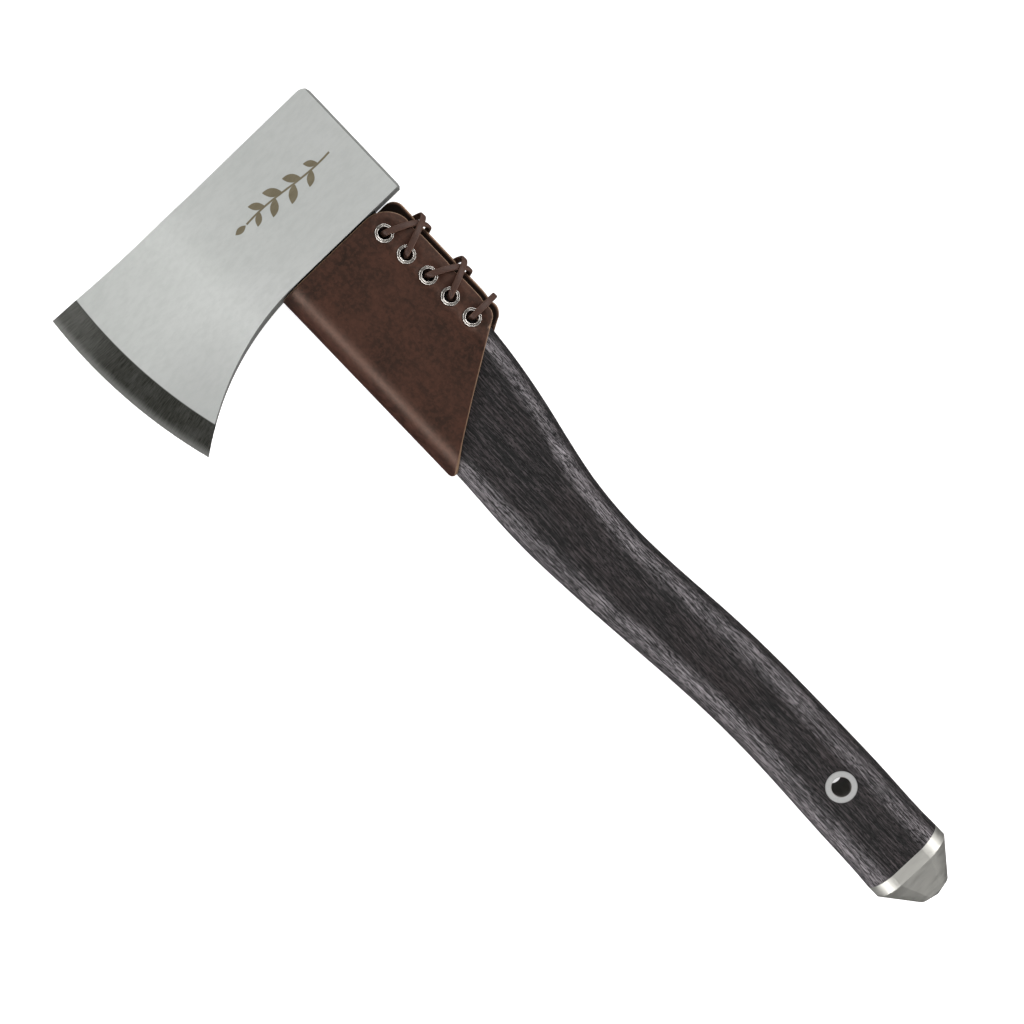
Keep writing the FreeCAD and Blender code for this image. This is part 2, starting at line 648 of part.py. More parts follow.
def make_collar():
    """Leather wrapped round the neck from the front, its two flaps trimmed and pierced at the back."""
    under, axis, mid = value(UNDER), value(AXIS), value(MID)
    gap, leather = value("Dims.collar_gap"), value("Dims.leather")
    top = under - value("Dims.collar_top_gap")
    front, rear = value("Dims.collar_front"), value("Dims.collar_rear")
    reach = value("Dims.far_edge") + leather
    inside = wrap_line(reach, gap, mid, axis)
    outside = wrap_line(reach, gap + leather, mid, axis)
    lips = [Part.LineSegment(inside[0].StartPoint, outside[0].StartPoint),
            Part.LineSegment(inside[-1].EndPoint, outside[-1].EndPoint)]
    edges = [line.toShape() for line in inside + outside + lips]
    section = Part.Face(Part.Wire(Part.__sortEdges__(edges)))
    section.translate(Vector(under - front - leather, 0, 0))
    wrap = section.extrude(Vector(front + leather, 0, 0))

    nose = value("Dims.neck_width / 2") + gap + leather
    slope = (front - rear) / (nose + value("Dims.far_edge"))
    halves = []
    for edge_name, base in (("near_edge", mid), ("far_edge", mid - value(MID) - leather)):
        edge = value(f"Dims.{edge_name}")
        lower_rear = rear + slope * (value("Dims.far_edge") - edge)
        toe = value("Dims.collar_toe_corner")
        outline = rounded_face([
            (top, axis + nose + leather, 0),
            (top, axis - edge, value("Dims.collar_corner")),
            (under - lower_rear, axis - edge, value("Dims.collar_rear_corner")),
            (under - front, axis + nose, toe),
            (under - front + 2 * toe, axis + nose + leather, 0),
        ], base)
        halves.append(wrap.common(outline.extrude(Vector(0, 0, value(MID) + leather))))
    shape = halves[0].fuse(halves[1]).removeSplitter()

    hole = value("Dims.eyelet_barrel / 2 + Dims.eyelet_clearance")
    seat = value("Dims.washer_outer / 2 + Dims.eyelet_clearance")
    cutters = []
    for label, number, side in EYELET_SPOTS:
        place = doc.getObject(f"eyelet_{label}").Placement
        up = place.Rotation.multVec(Vector(0, 0, 1))
        cutters.append(Part.makeCylinder(hole, 4 * leather, place.Base - up * 2 * leather, up))
        cutters.append(Part.makeCylinder(seat, leather, place.Base - up * 2 * leather, up))
    feature = doc.addObject("Part::Feature", "collar")
    feature.Label = "collar"
    feature.Shape = shape.cut(cutters).Solids[0]
    feature.Placement = Placement()
    return feature


def on_flap(down, back, height, side):
    """Point over a flap: distance below the head, behind the axis and along the flap's normal."""
    lean = math.radians(value("Dims.wrap_angle"))
    rise = value(FLAP_HEIGHT) - (back - value(FLAP_START)) * math.tan(lean)
    return Vector(value(UNDER) - down, value(AXIS) - back - height * math.sin(lean),
                  value(MID) + side * (rise + height * math.cos(lean)))


def behind_neck(down, back, up):
    """Point behind the neck: distance below the head, behind the axis and above the mid-plane."""
    return Vector(value(UNDER) - down, value(AXIS) - back, value(MID) + up)


def lace_route():
    """Points of the one lace, from its knotted end at the first pair down to the fifth and back."""
    radius = value("Dims.lace_diameter / 2")
    gap = value("Dims.lace_gap")
    outside = value("Dims.eyelet_crown") + gap / 2 + radius
    inside = -value("Dims.leather + Dims.washer_thickness + Dims.eyelet_lip") - gap - radius
    past_edge = value("Dims.lace_past_edge")
    relief = value("Dims.relief_edge")
    at_corner = relief + value("Dims.lace_past_corner")
    corner_up = value("Dims.relief_thickness / 2 + Dims.lace_over_corner")
    knot_half = value("Dims.knot_length / 2")
    edge = {1: value("Dims.near_edge"), -1: value("Dims.far_edge")}
    knot_back = value(KNOT_BACK)

    def spot(number):
        down, back = eyelet_place(number)
        return value(down), value(back)

    def through(number, side, outward):
        down, back = spot(number)
        heights = (inside, outside) if outward else (outside, inside)
        return [on_flap(down, back, height, side) for height in heights]

    def over(first, second, side, lift):
        """Across the back, outside: over one flap's edge, a crossing, over the other's."""
        start, end = spot(first)[0], spot(second)[0]
        lean = LACE_AT_EDGE * (end - start)
        return [
            on_flap(start + lean, edge[side] + past_edge, 2 * radius, side),
            behind_neck((start + end) / 2, edge[-1] + past_edge + lift, 0),
            on_flap(end - lean, edge[-side] + past_edge, 2 * radius, -side),
        ]

    def under(first, second, side, lift):
        """Across the back, between the wood and the flaps."""
        start, end = spot(first)[0], spot(second)[0]
        lean = LACE_AT_CORNER * (end - start)
        far_lean = LACE_BEHIND_NECK * (end - start)
        back = relief + value("Dims.lace_behind_neck") + lift / 2
        spread = side * value("Dims.lace_spread")
        return [
            behind_neck(start + lean, at_corner, side * corner_up),
            behind_neck(start + far_lean, back, spread),
            behind_neck(end - far_lean, back, -spread),
            behind_neck(end - lean, at_corner, -side * corner_up),
        ]

    def tail(side):
        """From the knot's end face to the first pair, inside the collar."""
        down = spot(1)[0]
        return [behind_neck(down, knot_back, side * knot_half),
                behind_neck(down, knot_back, side * (knot_half + value("Dims.lace_tail"))),
                behind_neck(down, at_corner, side * corner_up)]

    clear = value("Dims.lace_diameter") + gap
    route = tail(1)
    side = 1
    for first, second in ((1, 2), (3, 4)):
        route += through(first, side, True) + over(first, second, side, 0)
        route += through(second, -side, False) + under(second, second + 1, -side, 0)
    route += through(EYELETS, side, True) + over(EYELETS, EYELETS, side, 0)
    side = -1
    route += through(EYELETS, side, False) + under(EYELETS, EYELETS - 1, side, clear)
    side = 1
    for first, second in ((4, 3), (2, 1)):
        route += through(first, side, True) + over(first, second, side, clear)
        route += through(second, -side, False)
        if second > 1:
            route += under(second, second - 1, -side, clear)
    route += tail(-1)[::-1]
    return route


def rounded_path(points):
    """Wire of straight runs joined by tangent arcs, and the radii of the arcs."""
    edges = []
    radii = []
    last = points[0]
    for before, here, after in zip(points, points[1:], points[2:]):
        back = before - here
        ahead = after - here
        turn = math.pi - back.getAngle(ahead)
        reach = 0.45 * min(back.Length, ahead.Length)
        radius = reach / math.tan(turn / 2)
        back.normalize()
        ahead.normalize()
        start = here + back * reach
        end = here + ahead * reach
        inward = (back + ahead).normalize()
        middle = here + inward * radius * (1 / math.cos(turn / 2) - 1)
        edges.append(Part.LineSegment(last, start).toShape())
        edges.append(Part.Arc(start, middle, end).toShape())
        radii.append(radius)
        last = end
    edges.append(Part.LineSegment(last, points[-1]).toShape())
    return Part.Wire(edges), radii


def make_lace():
    """Leather lace, drawn as a round cord along its whole route."""
    path, radii = rounded_path(lace_route())
    first = path.Edges[0]
    ring = Part.makeCircle(value("Dims.lace_diameter / 2"), first.valueAt(0), first.tangentAt(0))
    feature = doc.addObject("Part::Feature", "lace")
    feature.Label = "lace"
    feature.Shape = path.makePipeShell([Part.Wire(ring)], True, False)
    feature.Placement = Placement()
    swept = math.pi * value("Dims.lace_diameter / 2") ** 2 * path.Length
    print("lace length", round(path.Length, 1), "radii", [round(r, 1) for r in radii])
    print("lace volume over section times length", round(feature.Shape.Volume / swept, 4))
    return feature


def make_lace_knot():
    """Stopper knot that joins the lace's ends, drawn as the short barrel it fills."""
    body = new_body("lace_knot")
    sketch = new_sketch(body, "ring", "XY_Plane", f"{MID} - Dims.knot_length / 2")
    circle(sketch, f"{UNDER} - Dims.eyelet_first", f"{AXIS} - {KNOT_BACK}", "Dims.knot_diameter")
    pad(body, sketch, "Dims.knot_length", "pad")
    return body


EYELET_SPOTS = [(f"{name}_{number}", number, side)
                for name, side in (("near", 1), ("far", -1)) for number in range(1, EYELETS + 1)]

pieces = [make_head(), make_haft(), make_eye_wedge()]
pieces += [make_cross_wedge(label) for label in CROSS_CENTRES]
pieces += [make_lanyard_tube(), make_butt_cap(), make_butt_stud()]
pieces += [make_eyelet(f"eyelet_{label}", number, side) for label, number, side in EYELET_SPOTS]
pieces += [make_washer(f"washer_{label}", number, side) for label, number, side in EYELET_SPOTS]
doc.recompute()
pieces += [make_collar(), make_lace(), make_lace_knot()]
doc.recompute()

for item in doc.Objects:
    if "Invalid" in item.State or "Error" in item.State:
        raise SystemExit(f"{item.Name} did not recompute: {item.State}")
os.makedirs("parts", exist_ok=True)
for piece in pieces:
    if piece.Shape.isNull() or not piece.Shape.isValid():
        raise SystemExit(f"{piece.Label} has no valid shape")
    piece.Shape.exportStep(f"parts/{piece.Label}.step")
    print(piece.Label, len(piece.Shape.Solids), round(piece.Shape.Volume, 1))
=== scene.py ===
import math

import bmesh
import bpy
from mathutils import Matrix, Vector
from mathutils import noise as mnoise


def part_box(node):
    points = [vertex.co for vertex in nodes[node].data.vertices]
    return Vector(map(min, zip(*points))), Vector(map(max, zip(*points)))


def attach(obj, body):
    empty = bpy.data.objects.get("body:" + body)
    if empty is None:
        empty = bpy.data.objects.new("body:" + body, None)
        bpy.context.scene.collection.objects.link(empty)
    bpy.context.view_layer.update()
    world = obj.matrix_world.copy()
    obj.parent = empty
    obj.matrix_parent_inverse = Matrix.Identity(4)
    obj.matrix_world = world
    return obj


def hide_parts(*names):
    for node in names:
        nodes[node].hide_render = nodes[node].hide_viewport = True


# A carving hatchet lying on its side. Metres, in the CAD frame: +X up the haft to the head,
# +Y towards the cutting edge, +Z up. mm() turns the drawing's millimetres into metres.

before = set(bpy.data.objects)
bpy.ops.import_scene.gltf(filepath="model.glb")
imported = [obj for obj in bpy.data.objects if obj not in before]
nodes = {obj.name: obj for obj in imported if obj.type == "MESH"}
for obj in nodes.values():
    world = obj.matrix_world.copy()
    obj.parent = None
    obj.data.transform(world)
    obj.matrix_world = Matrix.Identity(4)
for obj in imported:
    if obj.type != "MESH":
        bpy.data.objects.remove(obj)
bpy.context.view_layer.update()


def mm(*numbers):
    """Millimetres to metres: one number, or a vector from three."""
    if len(numbers) == 1:
        return numbers[0] / 1000
    return Vector([n / 1000 for n in numbers])


def clamp(number):
    """The number, held between 0 and 1."""
    return min(1.0, max(0.0, number))


# ---------------------------------------------------------------- places, in metres
HEAD_LOW, HEAD_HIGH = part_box("head")
MID = (HEAD_LOW.z + HEAD_HIGH.z) / 2

CAMERA_EYE = mm(98.05, -59.95, 960.6)
CAMERA_TARGET = mm(25.55, -11.45, 15.0)
CAMERA_UP = Vector((0.724, -0.690, 0.0))
CAMERA_LENS = 84.73
CAMERA_SENSOR = 36.0

TOOL = (0.02, -0.02, MID)
BUTT = (-0.19, -0.03, MID)
# Area lights: name, place, target, size along X and across it, power in watts.
LIGHTS = [("edge_side", (0.0, 1.05, 0.50), TOOL, (1.8, 0.34), 15.0),
          ("back_side", (0.0, -1.05, 0.46), TOOL, (1.8, 0.34), 13.0),
          ("overhead", (0.15, 0.1, 1.7), TOOL, (1.2, 1.2), 2.6),
          ("butt_end", (-0.95, -0.55, 0.72), BUTT, (0.7, 0.7), 1.8)]
SKY_BELOW = 0.04
SKY_ABOVE = 0.30
FLOOR_REACH = 25.0
FLOOR_GLOW = 0.75

# ---------------------------------------------------------------- sizes, in millimetres
# The head's underside, the haft's axis at the neck and the tool's middle height.
UNDER = 147.6
AXIS = -31.25
MIDDLE = 15.0

# The cutting edge is an arc, its centre this far in from the head's top.
EDGE_RADIUS = 213.0
EDGE_CENTRE_IN = 22.5
BEVEL_DEPTH = 12.6

# The etched sprig: its middle, its bowed stem, and its leaves as (place along the stem, side, size).
SPRIG_X = 176.0
SPRIG_Y = -36.0
STEM_BOW = 1.2
STEM_WAVE = 0.105
STEM_HALF_LENGTH = 21.0
STEM_HALF_WIDTH = 0.38
LEAF_LEAN = math.radians(40)
LEAF_HALF_LENGTH = 3.9
LEAF_HALF_WIDTH = 1.75
SPRIG_SOFTNESS = 0.12
LEAVES = [(-15.0, 1, 0.75), (-11.5, -1, 0.85), (-6.5, 1, 0.95), (-3.0, -1, 1.0), (2.5, 1, 1.0),
          (6.0, -1, 0.95), (11.0, 1, 0.85), (14.0, -1, 0.75), (21.5, 0, 0.7)]

# The collar's section across the haft, measured behind the haft's axis and up from the middle.
LEATHER = 2.2
FOLD_CENTRE = 13.9
FOLD_RADIUS = 13.8
FLAP_LEAN = math.radians(20)
FLAP_START = FOLD_CENTRE + FOLD_RADIUS * math.sin(FLAP_LEAN)
FLAP_HEIGHT = FOLD_RADIUS * math.cos(FLAP_LEAN)
FOLD_FRONT = 27.7
# The flaps' values are kept by side: 1 is the near, upper flap and -1 the far, lower one.
FLAP_EDGES = {1: 29.7, -1: 32.2}

# The collar's outline, measured below the head's underside.
COLLAR_TOP = 0.6
COLLAR_FRONT = 97.3
COLLAR_REARS = {1: 58.6, -1: 61.5}
TRIM_BOW = 0.6
TOE_CORNER = 1.6
REAR_CORNER = 6.4
TOP_CORNERS = {1: 11.5, -1: 5.0}

# The collar's mesh: rows down the haft, the rows' distances in from a cut edge, its rounding.
COLLAR_ROWS = 112
RIM_ROWS = [0.0, 0.09, 0.22, 0.4, 0.62]
EDGE_ROLL = 0.55
# Vertex values on the outer and the inner skin: the side of the leather, which is 0 outside and 1 inside
# but lies between on the cut edge, and how far in the rim's colour reaches.
CUT_SIDES = [0.28, 0.72]
RIM_REACHES = [0.75, 1.65]
# Soft waves on the flaps, which start behind the haft's axis.
FLAP_WAVES_FROM = 14.0
FLAP_WAVES_FADE = 5.0
WAVE_SCALE = 0.09
WAVE_HEIGHT = 0.16
WAVE_LIFT = 0.22
# Where the lace crosses the flaps' edges it pulls them in.
CREASES = (15.0, 38.4, 55.8)
CREASE_WIDTH = 2.6
CREASE_REACH = 3.5
CREASE_PULL = 0.55

EYELETS = 5
EYELET_BARREL = 2.65
BARREL_GAP = 0.12
# Round an eyelet the leather is flat as far as the seat, and pressed down a little further.
SEAT_RADIUS = 4.3
SEAT_FADE = 0.4
PRESSED_RADIUS = 3.9
PRESSED_FADE = 2.4
# An eyelet's section as (radius, height over the leather): flange, groove, inner roll, barrel, clench.
EYELET_PROFILE = [
    (3.85, 0.02), (3.85, 0.18), (3.80, 0.32), (3.69, 0.42), (3.56, 0.42), (3.45, 0.32), (3.36, 0.16),
    (3.26, 0.08), (3.14, 0.12), (3.04, 0.30), (2.94, 0.48), (2.80, 0.57), (2.66, 0.55), (2.54, 0.42),
    (2.45, 0.18), (2.38, -0.25), (2.36, -2.7), (2.30, -2.98), (2.50, -3.02), (2.95, -2.98), (3.10, -2.86),
    (3.12, -2.71), (2.65, -2.70), (2.65, 0.0)]
EYELET_TURNS = 48

# The lace's middle line: over and under the leather, and where it passes the neck.
LACE_WIDTH = 2.5
LACE_THICKNESS = 1.3
LACE_OUTSIDE = 1.975
LACE_INSIDE = -4.37
LACE_LEAVES_EDGE = 0.9
LACE_MEETS_EDGE = 1.3
LACE_OVER_EDGE = 1.7
LACE_ABOVE_LACE = 1.75
LACE_PAST_FLAPS = 1.5
LACE_CROSSING_UP = 2.0
NECK_CORNER_BACK = 23.5
NECK_CORNER_UP = 6.55
NECK_BACK = 26.6
NECK_SPREAD = 3.6
# The knot of the lace's ends.
KNOT_BACK = 26.4
KNOT_TURNS = 3
KNOT_RADIUS = 1.62
KNOT_HALF_LENGTH = 1.85
KNOT_STRIP = 1.35


def eyelet_spot(number):
    """Distance of an eyelet below the head and behind the haft's axis."""
    return 9.3 + 11.63 * (number - 1), 19.5 + 0.55 * (number - 1)


# ---------------------------------------------------------------- camera and stage
def aim(thing, place, right, upward, away):
    """Put a camera or light in the scene, looking against its away direction."""
    turn = Matrix((right, upward, away)).transposed()
    thing.matrix_world = Matrix.Translation(place) @ turn.to_4x4()
    bpy.context.scene.collection.objects.link(thing)


def make_camera():
    """Camera nearly overhead, nearer the head, with the haft running down to the right."""
    away = (CAMERA_EYE - CAMERA_TARGET).normalized()
    right = CAMERA_UP.cross(away).normalized()
    data = bpy.data.cameras.new("camera")
    data.lens = CAMERA_LENS
    data.sensor_width = CAMERA_SENSOR
    data.clip_start = 0.05
    data.clip_end = 20.0
    camera = bpy.data.objects.new("camera", data)
    aim(camera, CAMERA_EYE, right, away.cross(right), away)
    bpy.context.scene.camera = camera


def area_light(name, place, target, size, power):
    """Soft rectangular light that faces a target, its long side along X."""
    data = bpy.data.lights.new(name, "AREA")
    data.shape = "RECTANGLE"
    data.size, data.size_y = size
    data.energy = power
    away = (Vector(place) - Vector(target)).normalized()
    side = Vector((1, 0, 0))
    side = (side - away * side.dot(away)).normalized()
    aim(bpy.data.objects.new(name, data), place, side, away.cross(side), away)


def make_world():
    """Soft sky, brighter overhead than at the horizon."""
    world = bpy.data.worlds.new("studio")
    world.use_nodes = True
    tree = world.node_tree
    sky = tree.nodes["Background"]
    coords = tree.nodes.new("ShaderNodeTexCoord")
    parts = tree.nodes.new("ShaderNodeSeparateXYZ")
    fade = tree.nodes.new("ShaderNodeMapRange")
    fade.inputs["From Min"].default_value = -0.15
    fade.inputs["From Max"].default_value = 0.45
    fade.inputs["To Min"].default_value = SKY_BELOW
    fade.inputs["To Max"].default_value = SKY_ABOVE
    tree.links.new(coords.outputs["Generated"], parts.inputs["Vector"])
    tree.links.new(parts.outputs["Z"], fade.inputs["Value"])
    tree.links.new(fade.outputs["Result"], sky.inputs["Strength"])
    sky.inputs["Color"].default_value = (1, 1, 1, 1)
    return world


def make_floor():
    """Plain white floor that glows a little and isn't seen in the metal."""
    mesh = bpy.data.meshes.new("floor")
    corners = [(x * FLOOR_REACH, y * FLOOR_REACH, 0) for x, y in ((-1, -1), (1, -1), (1, 1), (-1, 1))]
    mesh.from_pydata(corners, [], [(0, 1, 2, 3)])
    floor = bpy.data.objects.new("floor", mesh)
    bpy.context.scene.collection.objects.link(floor)
    material = bpy.data.materials.new("pale_floor")
    material.use_nodes = True
    shader = material.node_tree.nodes["Principled BSDF"]
    shader.inputs["Base Color"].default_value = (0.9, 0.9, 0.9, 1)
    shader.inputs["Roughness"].default_value = 1.0
    shader.inputs["Specular IOR Level"].default_value = 0.0
    shader.inputs["Emission Color"].default_value = (1, 1, 1, 1)
    shader.inputs["Emission Strength"].default_value = FLOOR_GLOW
    mesh.materials.append(material)
    floor.visible_glossy = False


def make_stage():
    """Sky, floor and lights: two long soft ones beside the tool, a faint one overhead, one at the butt."""
    scene = bpy.context.scene
    scene.view_settings.view_transform = "Standard"
    scene.world = make_world()
    make_floor()
    for light in LIGHTS:
        area_light(*light)


# ---------------------------------------------------------------- material helpers
class Nodes:
    """Short names for building a node tree."""

    def __init__(self, name):
        self.material = bpy.data.materials.new(name)
        self.material.use_nodes = True
        self.tree = self.material.node_tree
        self.shader = self.tree.nodes["Principled BSDF"]
        self.coords = self.add("ShaderNodeTexCoord").outputs["Object"]

    def add(self, kind, **settings):
        node = self.tree.nodes.new(kind)
        for key, setting in settings.items():
            setattr(node, key, setting)
        return node

    def give(self, socket, given):
        """Link an output to a socket, or set the socket to a number or a colour."""
        if isinstance(given, bpy.types.NodeSocket):
            self.tree.links.new(given, socket)
        elif isinstance(given, tuple) and len(given) == 3 and socket.type == "RGBA":
            socket.default_value = (*given, 1)
        else:
            socket.default_value = given

    def put(self, node, **inputs):
        for key, given in inputs.items():
            self.give(node.inputs[key.replace("_", " ")], given)

    def look(self, **inputs):
        """Set or link the shader's own inputs."""
        self.put(self.shader, **inputs)

    def mapped(self, scale, location=(0, 0, 0), source=None):
        node = self.add("ShaderNodeMapping")
        self.put(node, Vector=source or self.coords, Scale=scale, Location=location)
        return node.outputs["Vector"]

    def noise(self, vector, scale, detail, rough, distortion=0.0):
        node = self.add("ShaderNodeTexNoise")
        self.put(node, Vector=vector, Scale=scale, Detail=detail, Roughness=rough, Distortion=distortion)
        return node.outputs["Fac"]

    def voronoi(self, vector, scale):
        node = self.add("ShaderNodeTexVoronoi", feature="F1")
        self.put(node, Vector=vector, Scale=scale)
        return node.outputs["Distance"]

    def math(self, operation, first, second=0.0):
        node = self.add("ShaderNodeMath", operation=operation)
        self.give(node.inputs[0], first)
        self.give(node.inputs[1], second)
        return node.outputs["Value"]

    def plus(self, first, second):
        return self.math("ADD", first, second)

    def minus(self, first, second):
        return self.math("SUBTRACT", first, second)

    def times(self, first, second):
        return self.math("MULTIPLY", first, second)

    def distance(self, first, second):
        """Length of a vector from its two parts."""
        return self.math("SQRT", self.plus(self.times(first, first), self.times(second, second)))

    def ramp(self, factor, stops):
        """Colour ramp from (position, grey) stops."""
        node = self.add("ShaderNodeValToRGB")
        self.give(node.inputs["Fac"], factor)
        for element, (position, grey) in zip(node.color_ramp.elements, stops):
            element.position = position
            element.color = (grey, grey, grey, 1)
        return node.outputs["Color"]

    def mix(self, factor, first, second):
        node = self.add("ShaderNodeMix", data_type="RGBA")
        for socket, given in zip((node.inputs[0], node.inputs[6], node.inputs[7]), (factor, first, second)):
            self.give(socket, given)
        return node.outputs[2]

    def bump(self, height, distance, strength, normal=None):
        node = self.add("ShaderNodeBump")
        self.put(node, Height=height, Distance=distance, Strength=strength)
        if normal is not None:
            self.give(node.inputs["Normal"], normal)
        return node.outputs["Normal"]

    def separate(self, vector):
        node = self.add("ShaderNodeSeparateXYZ")
        self.give(node.inputs["Vector"], vector)
        return node.outputs

    def normal(self):
        """Parts of the surface's direction."""
        return self.separate(self.add("ShaderNodeTexCoord").outputs["Normal"])

    def attribute(self, name):
        return self.add("ShaderNodeAttribute", attribute_name=name).outputs["Fac"]

    def combine(self, x, y, z):
        node = self.add("ShaderNodeCombineXYZ")
        self.put(node, X=x, Y=y, Z=z)
        return node.outputs["Vector"]

    def smooth(self, value, low, high):
        """0 below low, 1 above high."""
        node = self.add("ShaderNodeMapRange", interpolation_type="SMOOTHSTEP")
        self.put(node, Value=value, From_Min=low, From_Max=high)
        return node.outputs["Result"]


def dress(name, material):
    """Give a CAD node one material."""
    piece = nodes[name]
    piece.data.materials.clear()
    piece.data.materials.append(material)


# ---------------------------------------------------------------- materials
def sprig_mask(n, along, across):
    """1 inside a generic leaf sprig: a bowed stem with paired pointed leaves. Millimetres."""
    bow = n.times(n.math("SINE", n.times(along, STEM_WAVE)), STEM_BOW)
    off = n.math("ABSOLUTE", n.minus(across, bow))
    ends = n.minus(n.math("ABSOLUTE", along), STEM_HALF_LENGTH)
    nearest = n.math("MAXIMUM", n.minus(off, STEM_HALF_WIDTH), ends)
    for root, side, size in LEAVES:
        turn = LEAF_LEAN * side
        reach = LEAF_HALF_LENGTH * size
        start = STEM_BOW * math.sin(root * STEM_WAVE)
        du = n.minus(along, root + math.cos(turn) * reach)
        dv = n.minus(across, start + math.sin(turn) * reach * 1.05)
        lengthwise = n.plus(n.times(du, math.cos(turn)), n.times(dv, math.sin(turn)))
        sideways = n.minus(n.times(dv, math.cos(turn)), n.times(du, math.sin(turn)))
        part = n.math("DIVIDE", lengthwise, reach)
        belly = n.times(n.minus(1.0, n.times(part, part)), LEAF_HALF_WIDTH * size)
        nearest = n.math("MINIMUM", nearest, n.minus(n.math("ABSOLUTE", sideways), belly))
    return n.minus(1.0, n.smooth(nearest, -SPRIG_SOFTNESS, SPRIG_SOFTNESS))


def cheek_colour(n, x, y, grit):
    """Blasted steel with faint clouds, with painted shade towards the poll and in the hollow over the beard.
    """
    dull, clean, worn = (0.555, 0.57, 0.55), (0.605, 0.615, 0.60), (0.44, 0.455, 0.44)
    poll_shade_grey, beard_shade_grey = (0.42, 0.43, 0.42), (0.38, 0.39, 0.38)
    cloud = n.noise(n.coords, 22, 3.0, 0.5)
    cheek = n.mix(n.ramp(cloud, [(0.3, 0.0), (0.75, 1.0)]), dull, clean)
    cheek = n.mix(n.times(n.ramp(grit, [(0.35, 1.0), (0.6, 0.0)]), 0.3), cheek, worn)
    # Painted shade: the cheek is darkened towards the poll, and over the beard where it curves.
    forward = n.smooth(y, mm(-50.0), mm(10.0))
    cheek = n.mix(forward, n.mix(0.25, cheek, poll_shade_grey), cheek)
    beard = n.times(n.smooth(y, mm(-5.0), mm(45.0)), n.minus(1.0, n.smooth(x, mm(142.0), mm(172.0))))
    return n.mix(n.times(beard, 0.45), cheek, beard_shade_grey)


def bevel_colour(n, x, radius, streak):
    """Ground steel, coloured dark as a painted reflection of dark surroundings: fine lines towards the edge,
    stains, brighter at the toe and the edge.
    """
    # Painted reflection: the bevel's dark and pale greys stand for the dark surroundings it mirrors.
    dark, pale, stained = (0.018, 0.0185, 0.0155), (0.062, 0.062, 0.055), (0.095, 0.095, 0.09)
    toe_grey, edge_grey = (0.30, 0.30, 0.28), (0.30, 0.30, 0.285)
    stain = n.noise(n.coords, 110, 4.0, 0.65)
    toe = n.smooth(x, mm(165.0), mm(205.0))
    to_edge = n.smooth(radius, mm(EDGE_RADIUS - BEVEL_DEPTH + 8.5), mm(EDGE_RADIUS + 0.3))
    ground = n.mix(n.ramp(streak, [(0.40, 0.0), (0.62, 1.0)]), dark, pale)
    ground = n.mix(n.times(n.ramp(stain, [(0.45, 0.0), (0.75, 1.0)]), 0.45), ground, stained)
    ground = n.mix(n.times(n.times(toe, streak), 0.45), ground, toe_grey)
    return n.mix(n.times(to_edge, n.times(n.plus(streak, 0.25), 0.75)), ground, edge_grey)


def head_material():
    """Bead-blasted cheeks, an etched leaf sprig and a finely ground bevel, coloured dark as a painted
    reflection.
    """
    n = Nodes("head_steel")
    etch_dark, etch_pale = (0.14, 0.115, 0.068), (0.25, 0.22, 0.15)
    wall_shade_grey, line_grey = (0.10, 0.10, 0.095), (0.05, 0.05, 0.045)
    x, y, z = n.separate(n.coords)
    across = n.minus(x, HEAD_HIGH.x - mm(EDGE_CENTRE_IN))
    out = n.minus(y, HEAD_HIGH.y - mm(EDGE_RADIUS))
    radius = n.distance(across, out)
    bevel_at = mm(EDGE_RADIUS - BEVEL_DEPTH)
    bevel = n.smooth(radius, bevel_at - mm(0.03), bevel_at + mm(0.05))
    off_line = n.math("ABSOLUTE", n.minus(radius, bevel_at))
    line = n.minus(1.0, n.smooth(off_line, mm(0.05), mm(0.4)))

    grit = n.noise(n.mapped((1, 0.35, 1)), 520, 4.0, 0.65)
    angle = n.math("ARCTAN2", across, out)
    along_arc = n.combine(n.times(angle, EDGE_RADIUS), n.times(radius, 50.0), z)
    streak = n.noise(along_arc, 3.2, 6.0, 0.8)
    facing = n.normal()
    upper = n.smooth(facing[2], 0.5, 0.7)
    walls = n.minus(1.0, n.smooth(n.math("ABSOLUTE", facing[2]), 0.72, 0.88))
    along_mark = n.times(n.minus(y, mm(SPRIG_Y)), 1000.0)
    across_mark = n.times(n.minus(x, mm(SPRIG_X)), 1000.0)
    sprig = n.times(sprig_mask(n, along_mark, across_mark), upper)

    colour = n.mix(sprig, cheek_colour(n, x, y, grit), n.mix(grit, etch_dark, etch_pale))
    # Painted shade: the side walls, picked by the way they face, are coloured darker.
    colour = n.mix(n.times(walls, 0.72), colour, wall_shade_grey)
    colour = n.mix(bevel, colour, bevel_colour(n, x, radius, streak))
    colour = n.mix(n.times(line, 0.8), colour, line_grey)
    blast = n.noise(n.coords, 2600, 3.0, 0.7)
    texture = n.bump(n.mix(bevel, blast, streak), mm(0.03), 0.35)
    n.look(Base_Color=colour,
           Metallic=n.mix(bevel, (0.45, 0.45, 0.45), (1.0, 1.0, 1.0)),
           Roughness=n.mix(bevel, (0.75, 0.75, 0.75), (0.45, 0.45, 0.45)),
           Normal=n.bump(n.minus(1.0, sprig), mm(0.05), 0.6, texture))
    return n.material


